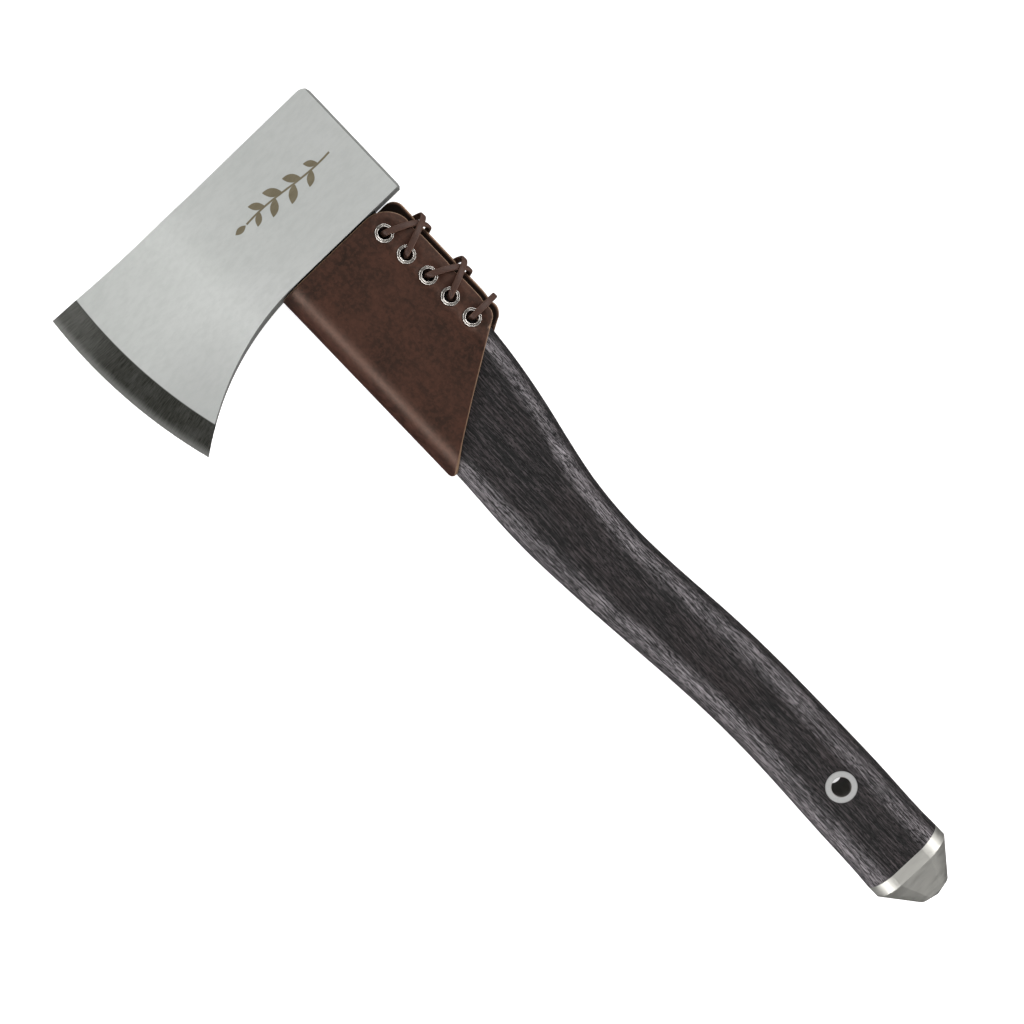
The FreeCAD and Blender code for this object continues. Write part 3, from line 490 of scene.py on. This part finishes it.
def wood_material():
    """Black-stained open-pored hardwood, oiled, with a painted highlight in lighter streaks along the
    shoulders of the grip.
    """
    n = Nodes("stained_wood")
    black, fibre_grey, band_brown = (0.0005, 0.0004, 0.0005), (0.080, 0.066, 0.069), (0.024, 0.016, 0.017)
    blotch_brown, sheen_grey = (0.032, 0.018, 0.018), (0.37, 0.335, 0.355)
    pore_black = (0.003, 0.0028, 0.003)
    bend = n.noise(n.mapped((0.35, 0.35, 0.35)), 24, 2.0, 0.5)
    drift = n.add("ShaderNodeVectorMath", operation="ADD")
    n.give(drift.inputs[0], n.coords)
    n.give(drift.inputs[1], n.combine(0.0, n.times(n.minus(bend, 0.5), mm(10.0)), 0.0))
    wavy = drift.outputs["Vector"]
    fibre = n.noise(n.mapped((0.055, 1.0, 1.0), source=wavy), 1250, 6.0, 0.8, 0.2)
    dashes = n.noise(n.mapped((0.15, 1.0, 1.0), (3, 1, 2), wavy), 2300, 4.0, 0.68, 0.35)
    long_pores = n.noise(n.mapped((0.05, 1.0, 1.0), (7, 4, 2), wavy), 1250, 4.0, 0.65, 0.3)
    bands = n.noise(n.mapped((0.12, 1.0, 0.8), (1, 5, 0), wavy), 110, 4.0, 0.6, 0.8)
    blotch = n.noise(n.mapped((0.4, 1, 1)), 60, 3.0, 0.5)

    # Painted highlight: streaks are coloured lighter grey where the surface tilts from the flat sides towards
    # the edges.
    facing = n.normal()
    flatness = n.math("ABSOLUTE", facing[2])
    front = n.smooth(facing[1], -0.05, 0.05)
    towards_side = n.mix(front, n.smooth(flatness, 0.42, 0.74), n.smooth(flatness, 0.08, 0.6))
    shoulder = n.minus(towards_side, n.smooth(flatness, 0.86, 0.985))
    shoulder_sheen = n.times(shoulder, n.ramp(fibre, [(0.42, 0.12), (0.57, 1.0)]))
    shoulder_sheen = n.times(shoulder_sheen, n.ramp(bands, [(0.38, 0.4), (0.60, 1.0)]))
    pores = n.math("MAXIMUM", n.ramp(dashes, [(0.43, 1.0), (0.50, 0.0)]),
                   n.ramp(long_pores, [(0.37, 1.0), (0.44, 0.0)]))

    base = n.mix(n.ramp(fibre, [(0.47, 0.0), (0.60, 1.0)]), black, fibre_grey)
    base = n.mix(n.times(n.ramp(bands, [(0.46, 0.0), (0.62, 1.0)]), 0.35), base, band_brown)
    base = n.mix(n.times(n.ramp(blotch, [(0.5, 0.0), (0.8, 1.0)]), 0.4), base, blotch_brown)
    # The painted highlight's lighter grey.
    base = n.mix(n.times(shoulder_sheen, 0.9), base, sheen_grey)
    rough = n.ramp(fibre, [(0.3, 0.55), (0.7, 0.36)])
    n.look(Base_Color=n.mix(n.times(pores, 0.9), base, pore_black),
           Roughness=n.mix(pores, rough, (0.85, 0.85, 0.85)),
           Specular_IOR_Level=0.36,
           Normal=n.bump(n.minus(n.times(fibre, 0.6), pores), mm(0.15), 0.75))
    return n.material


def plain_wood():
    """Pale hardwood of the eye wedge."""
    n = Nodes("wedge_wood")
    grain = n.noise(n.mapped((0.1, 1, 1)), 700, 5.0, 0.7)
    n.look(Base_Color=n.mix(grain, (0.28, 0.16, 0.08), (0.58, 0.40, 0.23)),
           Roughness=0.6,
           Normal=n.bump(grain, mm(0.05), 0.5))
    return n.material


def steel(name, colour, rough, streak_scale=(1, 1, 1), density=900, spread=0.2, relief=0.3):
    """Satin metal with fine streaks."""
    n = Nodes(name)
    lines = n.noise(n.mapped(streak_scale), density, 4.0, 0.7)
    dark = tuple(c * (1 - spread) for c in colour)
    light = tuple(min(1, c * (1 + spread)) for c in colour)
    n.look(Base_Color=n.mix(lines, dark, light),
           Metallic=1.0,
           Roughness=n.ramp(lines, [(0.3, rough * 0.84), (0.7, rough * 1.16)]))
    if relief > 0:
        n.look(Normal=n.bump(lines, mm(0.02), relief))
    return n.material


def tube_material():
    """Satin steel tube, turned bright on its ends, with painted shade in its bore and on the outer rim of its
    ends.
    """
    n = Nodes("tube_steel")
    low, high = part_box("lanyard_tube")
    x, y = n.separate(n.coords)[:2]
    radius = n.distance(n.minus(x, (low.x + high.x) / 2), n.minus(y, (low.y + high.y) / 2))
    # Painted shade: the bore is coloured darker than the end faces.
    face = n.smooth(radius, mm(4.02), mm(4.3))
    turned = n.noise(n.coords, 700, 4.0, 0.7)
    bright = n.mix(turned, (0.60, 0.60, 0.59), (0.76, 0.76, 0.75))
    # Painted shade on the outer rim of the end faces.
    rounded = n.smooth(radius, mm(5.7), mm(6.3))
    bright = n.mix(n.times(rounded, 0.3), bright, (0.3, 0.3, 0.3))
    n.look(Base_Color=n.mix(face, (0.55, 0.53, 0.51), bright),
           Metallic=1.0,
           Roughness=0.5,
           Normal=n.bump(turned, mm(0.02), 0.3))
    return n.material


def leather_face(n, mottle):
    """Colour of the grain side: reddish brown with patches, dark veins and a finer pale grain."""
    dark, brown, patch_brown = (0.0045, 0.0018, 0.0014), (0.037, 0.0135, 0.0086), (0.050, 0.0200, 0.0135)
    vein_brown, grain_brown = (0.010, 0.0045, 0.0035), (0.066, 0.0255, 0.0165)
    patch = n.noise(n.coords, 26, 3.0, 0.55)
    veins = n.noise(n.mapped((0.5, 1, 1)), 240, 4.0, 0.7, 1.2)
    grain = n.noise(n.coords, 520, 4.0, 0.7)
    face = n.mix(n.ramp(mottle, [(0.40, 0.0), (0.60, 1.0)]), dark, brown)
    face = n.mix(n.times(n.ramp(patch, [(0.44, 0.0), (0.62, 1.0)]), 0.45), face, patch_brown)
    face = n.mix(n.times(n.ramp(veins, [(0.41, 1.0), (0.49, 0.0)]), 0.6), face, vein_brown)
    return n.mix(n.times(n.ramp(grain, [(0.46, 0.0), (0.57, 1.0)]), 0.4), face, grain_brown)


def leather_material():
    """Oiled reddish-brown leather: smooth grain side, mottled colour, pale raw edge, dark flesh side."""
    n = Nodes("collar_leather")
    mottle = n.noise(n.coords, 75, 6.0, 0.68, 0.5)
    side = n.attribute("leather_side")
    rim = n.attribute("leather_rim")
    edge = n.minus(1.0, n.smooth(n.math("ABSOLUTE", n.minus(side, 0.5)), 0.24, 0.36))
    flesh = n.smooth(side, 0.72, 0.8)
    fuzz = n.noise(n.coords, 1800, 4.0, 0.8)
    raw = n.mix(fuzz, (0.15, 0.085, 0.05), (0.42, 0.28, 0.18))
    colour = n.mix(n.times(n.smooth(rim, 0.3, 0.8), 0.75), leather_face(n, mottle), raw)
    colour = n.mix(edge, colour, raw)
    back = n.mix(fuzz, (0.008, 0.006, 0.005), (0.025, 0.018, 0.014))
    back = n.mix(n.smooth(rim, 0.45, 0.8), back, (0.062, 0.033, 0.024))
    rough = n.ramp(mottle, [(0.3, 0.37), (0.7, 0.46)])
    cells = n.voronoi(n.coords, 1300)
    wrinkle = n.noise(n.coords, 650, 5.0, 0.65)
    height = n.plus(n.times(cells, 0.6), n.times(wrinkle, 0.9))
    n.look(Base_Color=n.mix(flesh, colour, back),
           Roughness=n.mix(flesh, rough, (0.9, 0.9, 0.9)),
           Specular_IOR_Level=0.5,
           Specular_Tint=(1.0, 0.66, 0.52),
           Normal=n.bump(height, mm(0.06), 0.4))
    return n.material


def lace_material():
    """Waxed leather lace, scuffed paler along its edges."""
    n = Nodes("lace_leather")
    scuff = n.noise(n.coords, 1100, 5.0, 0.75)
    broad = n.noise(n.coords, 220, 2.0, 0.5)
    edge = n.smooth(n.attribute("strip_edge"), 0.72, 0.95)
    colour = n.mix(scuff, (0.018, 0.0085, 0.0063), (0.088, 0.043, 0.030))
    colour = n.mix(n.times(broad, 0.35), colour, (0.12, 0.062, 0.045))
    n.look(Base_Color=n.mix(n.times(edge, 0.5), colour, (0.17, 0.095, 0.068)),
           Roughness=0.55,
           Specular_IOR_Level=0.25,
           Normal=n.bump(scuff, mm(0.1), 0.6))
    return n.material


# ---------------------------------------------------------------- places on the collar
def place(down, behind, up):
    """Point in metres from distances below the head, behind the axis and above the middle."""
    return mm(UNDER - down, AXIS - behind, MIDDLE + up)


def flap_rise(behind):
    """Height of the flap's outer face above the middle."""
    return FLAP_HEIGHT - (behind - FLAP_START) * math.tan(FLAP_LEAN)


def on_flap(down, behind, height, side):
    """Point over a flap, at a height along the flap's normal."""
    up = side * (flap_rise(behind) + height * math.cos(FLAP_LEAN))
    return place(down, behind + height * math.sin(FLAP_LEAN), up)


def new_piece(name, verts, faces, material, replaces, layers=None):
    """Smooth mesh that takes the place of a CAD node, with named values for its vertices."""
    mesh = bpy.data.meshes.new(name)
    mesh.from_pydata(verts, [], faces)
    mesh.materials.append(material)
    mesh.update()
    for layer, values in (layers or {}).items():
        mesh.attributes.new(layer, "FLOAT", "POINT").data.foreach_set("value", values)
    work = bmesh.new()
    work.from_mesh(mesh)
    bmesh.ops.delete(work, geom=[v for v in work.verts if not v.link_faces], context="VERTS")
    bmesh.ops.recalc_face_normals(work, faces=work.faces)
    work.to_mesh(mesh)
    work.free()
    for polygon in mesh.polygons:
        polygon.use_smooth = True
    piece = bpy.data.objects.new(name, mesh)
    bpy.context.scene.collection.objects.link(piece)
    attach(piece, "root")
    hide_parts(replaces)


# ---------------------------------------------------------------- collar
def flap_columns(side, steps):
    """Columns of a flap from its edge inwards, close together at the edge."""
    reach = FLAP_EDGES[side]
    rim = RIM_ROWS[:4]
    start = 0.6
    rest = reach - FLAP_START - start
    insets = rim + [start + rest * (1 - math.cos(math.pi / 2 * k / steps)) for k in range(steps)]
    return [(reach - inset, side * flap_rise(reach - inset), math.sin(FLAP_LEAN), side * math.cos(FLAP_LEAN))
            for inset in insets]


def side_columns(side, bend_steps=8, flat_steps=30):
    """Columns of the bend between flap and side, and of the flat side."""
    turns = [FLAP_LEAN * (1 - k / bend_steps) for k in range(bend_steps)]
    bend = [(FOLD_CENTRE + FOLD_RADIUS * math.sin(turn), side * FOLD_RADIUS * math.cos(turn),
             math.sin(turn), side * math.cos(turn)) for turn in turns]
    flat = [(FOLD_CENTRE * (1 - 2 * k / flat_steps), side * FOLD_RADIUS, 0.0, side)
            for k in range(flat_steps)]
    return bend + flat


def section_columns():
    """Outer line of the leather across the haft: behind, up, and the outward normal of each column."""
    fold_steps = 40
    fold = []
    for k in range(fold_steps + 1):
        turn = math.pi * k / fold_steps
        fold.append((-FOLD_CENTRE - FOLD_RADIUS * math.sin(turn), FOLD_RADIUS * math.cos(turn),
                     -math.sin(turn), math.cos(turn)))
    near = flap_columns(1, 24) + side_columns(1)
    far = flap_columns(-1, 28) + side_columns(-1)
    return near + fold + far[::-1]


def trim_slope(side):
    """Rise of the slanting cut from the fold to the rear, for each flap."""
    return (COLLAR_FRONT - COLLAR_REARS[side]) / (FOLD_FRONT + FLAP_EDGES[-1])


def rear_corner(side):
    """Where the rear corner's rounding starts: how far along either edge, and how far below the head."""
    slope = trim_slope(side)
    reach = REAR_CORNER / math.tan((math.pi / 2 + math.atan(slope)) / 2)
    return reach, COLLAR_FRONT - slope * (FOLD_FRONT + FLAP_EDGES[side]) - reach


def trim_below(behind, side):
    """Lower outline of the collar: a slanting, slightly hollow cut with rounded corners at fold and rear."""
    edge = FLAP_EDGES[side]
    slope = trim_slope(side)
    lean = math.atan(slope)
    toe_reach = TOE_CORNER / math.tan((math.pi / 2 - lean) / 2)
    if -behind > FOLD_FRONT - toe_reach * math.cos(lean):
        past = -behind - (FOLD_FRONT - TOE_CORNER)
        return COLLAR_FRONT - toe_reach + math.sqrt(max(0.0, TOE_CORNER ** 2 - past ** 2))
    reach, corner = rear_corner(side)
    if behind > edge - reach * math.cos(lean):
        past = behind - edge + REAR_CORNER
        return corner + math.sqrt(max(0.0, REAR_CORNER ** 2 - past ** 2))
    share = (FOLD_FRONT + behind) / (FOLD_FRONT + edge)
    return COLLAR_FRONT - slope * (FOLD_FRONT + behind) - TRIM_BOW * math.sin(math.pi * share)


def trim_above(behind, side):
    """Upper outline of the collar, with a rounded corner at the rear."""
    corner = TOP_CORNERS[side]
    inset = max(0.0, corner - (FLAP_EDGES[side] - behind))
    return COLLAR_TOP + corner - math.sqrt(corner ** 2 - min(inset, corner) ** 2)


def rim_distance(behind, down, side):
    """Distance in from the collar's cut edge."""
    edge = FLAP_EDGES[side]
    corner = TOP_CORNERS[side]
    slope = trim_slope(side)
    lean = math.atan(slope)
    slant = (COLLAR_FRONT - slope * (FOLD_FRONT + behind) - down) * math.cos(lean)
    nearest = min(down - COLLAR_TOP, edge - behind, slant, (trim_below(behind, side) - down) * math.cos(lean))
    if behind > edge - corner and down < COLLAR_TOP + corner:
        nearest = min(nearest, corner - math.hypot(behind - edge + corner, down - COLLAR_TOP - corner))
    low = rear_corner(side)[1]
    if behind > edge - REAR_CORNER and down > low:
        nearest = min(nearest, REAR_CORNER - math.hypot(behind - edge + REAR_CORNER, down - low))
    return max(0.0, nearest)


def eyelet_distance(down, behind):
    """Distance along the flap from the nearest eyelet's middle."""
    spots = [eyelet_spot(number) for number in range(1, EYELETS + 1)]
    return min(math.hypot(down - eye_down, (behind - eye_behind) / math.cos(FLAP_LEAN))
               for eye_down, eye_behind in spots)


def leather_skins(column, down, side, depth, nearest):
    """Outer and inner point of the leather, a depth in from its cut edge and away from an eyelet."""
    behind, up, normal_back, normal_up = column
    on_rear = clamp((behind - FLAP_WAVES_FROM) / FLAP_WAVES_FADE)
    spot = Vector((down * WAVE_SCALE, behind * WAVE_SCALE, side * 3.0))
    wave = WAVE_HEIGHT * (mnoise.noise(spot) + 0.4) * min(1.0, depth / 3.0)
    free = clamp((nearest - PRESSED_RADIUS) / PRESSED_FADE)
    swell = (wave + WAVE_LIFT) * on_rear * free * free * (3 - 2 * free)
    crease = sum(math.exp(-((down - middle) / CREASE_WIDTH) ** 2) for middle in CREASES)
    pull = CREASE_PULL * crease * math.exp(-max(0.0, FLAP_EDGES[side] - behind) / CREASE_REACH) * on_rear
    rounding = EDGE_ROLL - math.sqrt(max(0.0, EDGE_ROLL ** 2 - (EDGE_ROLL - min(depth, EDGE_ROLL)) ** 2))
    points = []
    for skin, offset in ((0, swell - rounding), (1, swell - LEATHER + rounding)):
        back = behind - pull + offset * normal_back
        height = up + offset * normal_up + pull * math.tan(FLAP_LEAN) * side
        if nearest < SEAT_RADIUS:
            level = side * (flap_rise(back) - skin * LEATHER / math.cos(FLAP_LEAN))
            blend = min(1.0, (SEAT_RADIUS - nearest) / SEAT_FADE)
            wanted = height * (1 - blend) + level * blend
            height = max(height, wanted) if side > 0 else min(height, wanted)
        points.append(place(down, back, height))
    return points


def make_collar(material):
    """Leather shell with rounded cut edges, pierced and pressed down under the eyelets."""
    columns = section_columns()
    inner_rows = COLLAR_ROWS - 2 * len(RIM_ROWS)
    verts = []
    sides = []
    rims = []
    grid = []
    holes = set()
    for col, column in enumerate(columns):
        behind = column[0]
        side = 1 if col < len(columns) // 2 else -1
        high = trim_above(behind, side)
        low = trim_below(behind, side)
        span = low - high - 2 * RIM_ROWS[-1]
        downs = [high + inset for inset in RIM_ROWS]
        downs += [high + RIM_ROWS[-1] + span * (k + 1) / (inner_rows + 1) for k in range(inner_rows)]
        downs += [low - inset for inset in RIM_ROWS[::-1]]
        line = []
        for row, down in enumerate(downs):
            on_edge = row in (0, COLLAR_ROWS - 1) or col in (0, len(columns) - 1)
            depth = 0.0 if on_edge else rim_distance(behind, down, side)
            nearest = eyelet_distance(down, behind)
            line.append((len(verts), len(verts) + 1))
            verts += leather_skins(column, down, side, depth, nearest)
            sides += [0, 1] if depth > 0 else CUT_SIDES
            rims += [max(0.0, 1 - depth / reach) for reach in RIM_REACHES]
            if nearest < EYELET_BARREL + BARREL_GAP:
                holes.add((col, row))
        grid.append(line)

    faces = []
    # Open sides of the grid's squares, in order: an edge met from both sides isn't open.
    walls = {}
    for col in range(len(grid) - 1):
        for row in range(COLLAR_ROWS - 1):
            corners = [(col, row), (col + 1, row), (col + 1, row + 1), (col, row + 1)]
            if any(c in holes for c in corners):
                continue
            faces.append([grid[c][r][0] for c, r in corners])
            faces.append([grid[c][r][1] for c, r in corners[::-1]])
            for number in range(4):
                key = (corners[number], corners[(number + 1) % 4])
                if key[::-1] in walls:
                    del walls[key[::-1]]
                else:
                    walls[key] = True

    middles = {}
    for wall in walls:
        for col, row in wall:
            if (col, row) not in middles:
                outer, inner = grid[col][row]
                middles[col, row] = len(verts)
                verts.append((verts[outer] + verts[inner]) / 2)
                sides.append(0.5)
                rims.append(1.0)
        outer = [grid[c][r][0] for c, r in wall]
        inner = [grid[c][r][1] for c, r in wall]
        between = [middles[corner] for corner in wall]
        faces.append([outer[1], outer[0], between[0], between[1]])
        faces.append([between[1], between[0], inner[0], inner[1]])
    new_piece("collar_shell", verts, faces, material, "collar", {"leather_side": sides, "leather_rim": rims})


# ---------------------------------------------------------------- eyelets and lace
def make_eyelet(name, number, side, material):
    """Rolled eyelet: a lip, a groove and an inner roll that turns down into the barrel."""
    down, behind = eyelet_spot(number)
    centre = on_flap(down, behind, 0.0, side)
    up = Vector((0, -math.sin(FLAP_LEAN), side * math.cos(FLAP_LEAN)))
    across = Vector((1, 0, 0))
    along = up.cross(across)
    count = len(EYELET_PROFILE)
    verts = []
    faces = []
    for k in range(EYELET_TURNS):
        angle = 2 * math.pi * k / EYELET_TURNS
        ray = across * math.cos(angle) + along * math.sin(angle)
        verts += [centre + ray * mm(radius) + up * mm(height) for radius, height in EYELET_PROFILE]
        following = (k + 1) % EYELET_TURNS
        for j in range(count):
            ahead = (j + 1) % count
            faces.append([k * count + j, following * count + j, following * count + ahead, k * count + ahead])
    new_piece(name + "_rolled", verts, faces, material, name)


def through_eyelet(number, side, outward):
    """Lace points under and over the leather, in the order the lace passes them."""
    down, behind = eyelet_spot(number)
    heights = (LACE_INSIDE, LACE_OUTSIDE) if outward else (LACE_OUTSIDE, LACE_INSIDE)
    return [on_flap(down, behind, height, side) for height in heights]


def over_edges(first, second, lift, shares):
    """Lace points from the near flap over both edges to the far one. Shares say how far across each lies."""
    start, end = eyelet_spot(first)[0], eyelet_spot(second)[0]
    leave, middle, arrive = (start + (end - start) * share for share in shares)
    height = LACE_OVER_EDGE + 0.8 * lift
    return [on_flap(leave, FLAP_EDGES[1] + LACE_LEAVES_EDGE, height, 1),
            place(middle, FLAP_EDGES[-1] + LACE_PAST_FLAPS + lift, LACE_CROSSING_UP),
            on_flap(arrive, FLAP_EDGES[-1] + LACE_MEETS_EDGE, height, -1)]


def behind_neck(first, second, lift):
    """Lace points inside the collar, from the far flap round the neck's back to the near one."""
    start, end = eyelet_spot(first)[0], eyelet_spot(second)[0]
    lean = 0.18 * (end - start)
    far_lean = 0.4 * (end - start)
    behind = NECK_BACK + lift / 2
    return [place(start + lean, NECK_CORNER_BACK, -NECK_CORNER_UP),
            place(start + far_lean, behind, -NECK_SPREAD),
            place(end - far_lean, behind, NECK_SPREAD),
            place(end - lean, NECK_CORNER_BACK, NECK_CORNER_UP)]


def lace_tail(side):
    """Lace points from the knot to the first eyelet."""
    down = eyelet_spot(1)[0]
    return [place(down, KNOT_BACK, side * 2.6), place(down, KNOT_BACK, side * 4.8),
            place(down, NECK_CORNER_BACK, side * NECK_CORNER_UP)]


def lace_points():
    """Control points of the one lace, from its knotted end at the first pair down to the fifth and back."""
    route = lace_tail(1)
    for first in (1, 3):
        route += through_eyelet(first, 1, True) + over_edges(first, first + 1, 0, (0.42, 0.72, 0.85))
        route += through_eyelet(first + 1, -1, False) + behind_neck(first + 1, first + 2, 0)
    route += through_eyelet(EYELETS, 1, True) + over_edges(EYELETS, EYELETS, 0, (0, 0, 0))
    route += through_eyelet(EYELETS, -1, False) + behind_neck(EYELETS, EYELETS - 1, LACE_ABOVE_LACE)
    for first in (4, 2):
        route += through_eyelet(first, 1, True)
        route += over_edges(first, first - 1, LACE_ABOVE_LACE, (0.36, 0.55, 0.7))
        route += through_eyelet(first - 1, -1, False)
        if first > 2:
            route += behind_neck(first - 1, first - 2, LACE_ABOVE_LACE)
    return route + lace_tail(-1)[::-1]


def smooth_line(points, name):
    """Points read from a NURBS spline through control points."""
    data = bpy.data.curves.new(name, "CURVE")
    data.dimensions = "3D"
    data.resolution_u = 10
    spline = data.splines.new("NURBS")
    spline.points.add(len(points) - 1)
    for target, point in zip(spline.points, points):
        target.co = (*point, 1.0)
    spline.order_u = 3
    spline.use_endpoint_u = True
    carrier = bpy.data.objects.new(name, data)
    mesh = bpy.data.meshes.new_from_object(carrier)
    line = [vertex.co.copy() for vertex in mesh.vertices]
    bpy.data.objects.remove(carrier)
    bpy.data.curves.remove(data)
    bpy.data.meshes.remove(mesh)
    return line


def strip_frames(line, facing):
    """Sideways and upward direction of a strip at each point of its line."""
    normal = facing(line[0])
    frames = []
    for number, point in enumerate(line):
        ahead = line[min(number + 1, len(line) - 1)]
        tangent = (ahead - line[max(number - 1, 0)]).normalized()
        normal = (normal - tangent * normal.dot(tangent)).normalized()
        wanted = facing(point)
        wanted = wanted - tangent * wanted.dot(tangent)
        if wanted.dot(normal) < 0:
            wanted = -wanted
        normal = (normal + wanted * wanted.length * 0.35).normalized()
        frames.append((tangent.cross(normal), normal))
    return frames


def strip_outline(width, thickness):
    """Section of a flat strip with rounded edges, anticlockwise."""
    corner = thickness * 0.42
    outline = []
    for quarter, (right, up) in enumerate(((1, 1), (-1, 1), (-1, -1), (1, -1))):
        for k in range(4):
            angle = math.pi / 2 * (quarter + k / 3)
            outline.append(((width / 2 - corner) * right + corner * math.cos(angle),
                            (thickness / 2 - corner) * up + corner * math.sin(angle)))
    return outline


def sweep_strip(name, line, width, thickness, facing, material, replaces):
    """Flat strip with rounded edges along a line. facing(point) is the way its flat side looks."""
    outline = strip_outline(width, thickness)
    count = len(outline)
    verts = []
    edges = []
    for number, (point, (side, normal)) in enumerate(zip(line, strip_frames(line, facing))):
        wander = 1 + 0.07 * mnoise.noise(Vector((number * 0.13, 0, 0)))
        for x, y in outline:
            verts.append(point + side * mm(x * wander) + normal * mm(y))
            edges.append(abs(x) / (width / 2))
    faces = []
    for number in range(len(line) - 1):
        base = number * count
        for k in range(count):
            ahead = (k + 1) % count
            faces.append([base + k, base + ahead, base + count + ahead, base + count + k])
    faces.append(list(range(count))[::-1])
    faces.append([(len(line) - 1) * count + k for k in range(count)])
    new_piece(name, verts, faces, material, replaces, {"strip_edge": edges})


def make_lace(material):
    """The lace as a flat leather strip that lies against what it passes."""
    def facing(point):
        behind = mm(AXIS) - point.y
        return Vector((0, mm(17.0) - behind, point.z - mm(MIDDLE))).normalized()

    line = smooth_line(lace_points(), "lace_line")
    sweep_strip("lace_strip", line, LACE_WIDTH, LACE_THICKNESS, facing, material, "lace")


def make_knot(material):
    """Stopper knot: the lace's end wound round itself."""
    centre = place(eyelet_spot(1)[0], KNOT_BACK, 0)

    def facing(point):
        out = point - centre
        return Vector((out.x, out.y, 0)).normalized()

    steps = KNOT_TURNS * 8
    points = []
    for k in range(steps + 1):
        angle = 2 * math.pi * k / 8
        along = KNOT_HALF_LENGTH * (2 * k / steps - 1)
        points.append(centre + mm(KNOT_RADIUS * math.cos(angle), KNOT_RADIUS * math.sin(angle), along))
    line = smooth_line(points, "knot_line")
    sweep_strip("lace_knot_wound", line, KNOT_STRIP, LACE_THICKNESS, facing, material, "lace_knot")


# ---------------------------------------------------------------- the scene
make_camera()
make_stage()
wedge_steel = steel("wedge_steel", (0.30, 0.29, 0.28), 0.5)
nickel = steel("eyelet_nickel", (0.55, 0.52, 0.485), 0.1, density=400, spread=0.06, relief=0.0)
lace_leather = lace_material()

dress("head", head_material())
dress("haft", wood_material())
dress("eye_wedge", plain_wood())
dress("cross_wedge_poll", wedge_steel)
dress("cross_wedge_edge", wedge_steel)
dress("lanyard_tube", tube_material())
dress("butt_cap", steel("cap_steel", (0.62, 0.61, 0.57), 0.52, (1, 0.15, 0.15), spread=0.14))
dress("butt_stud", steel("stud_steel", (0.5, 0.5, 0.5), 0.4))
make_collar(leather_material())
make_lace(lace_leather)
make_knot(lace_leather)
for name in sorted(nodes):
    if name.startswith("washer"):
        dress(name, nickel)
    if name.startswith("eyelet"):
        make_eyelet(name, int(name[-1]), 1 if "near" in name else -1, nickel)
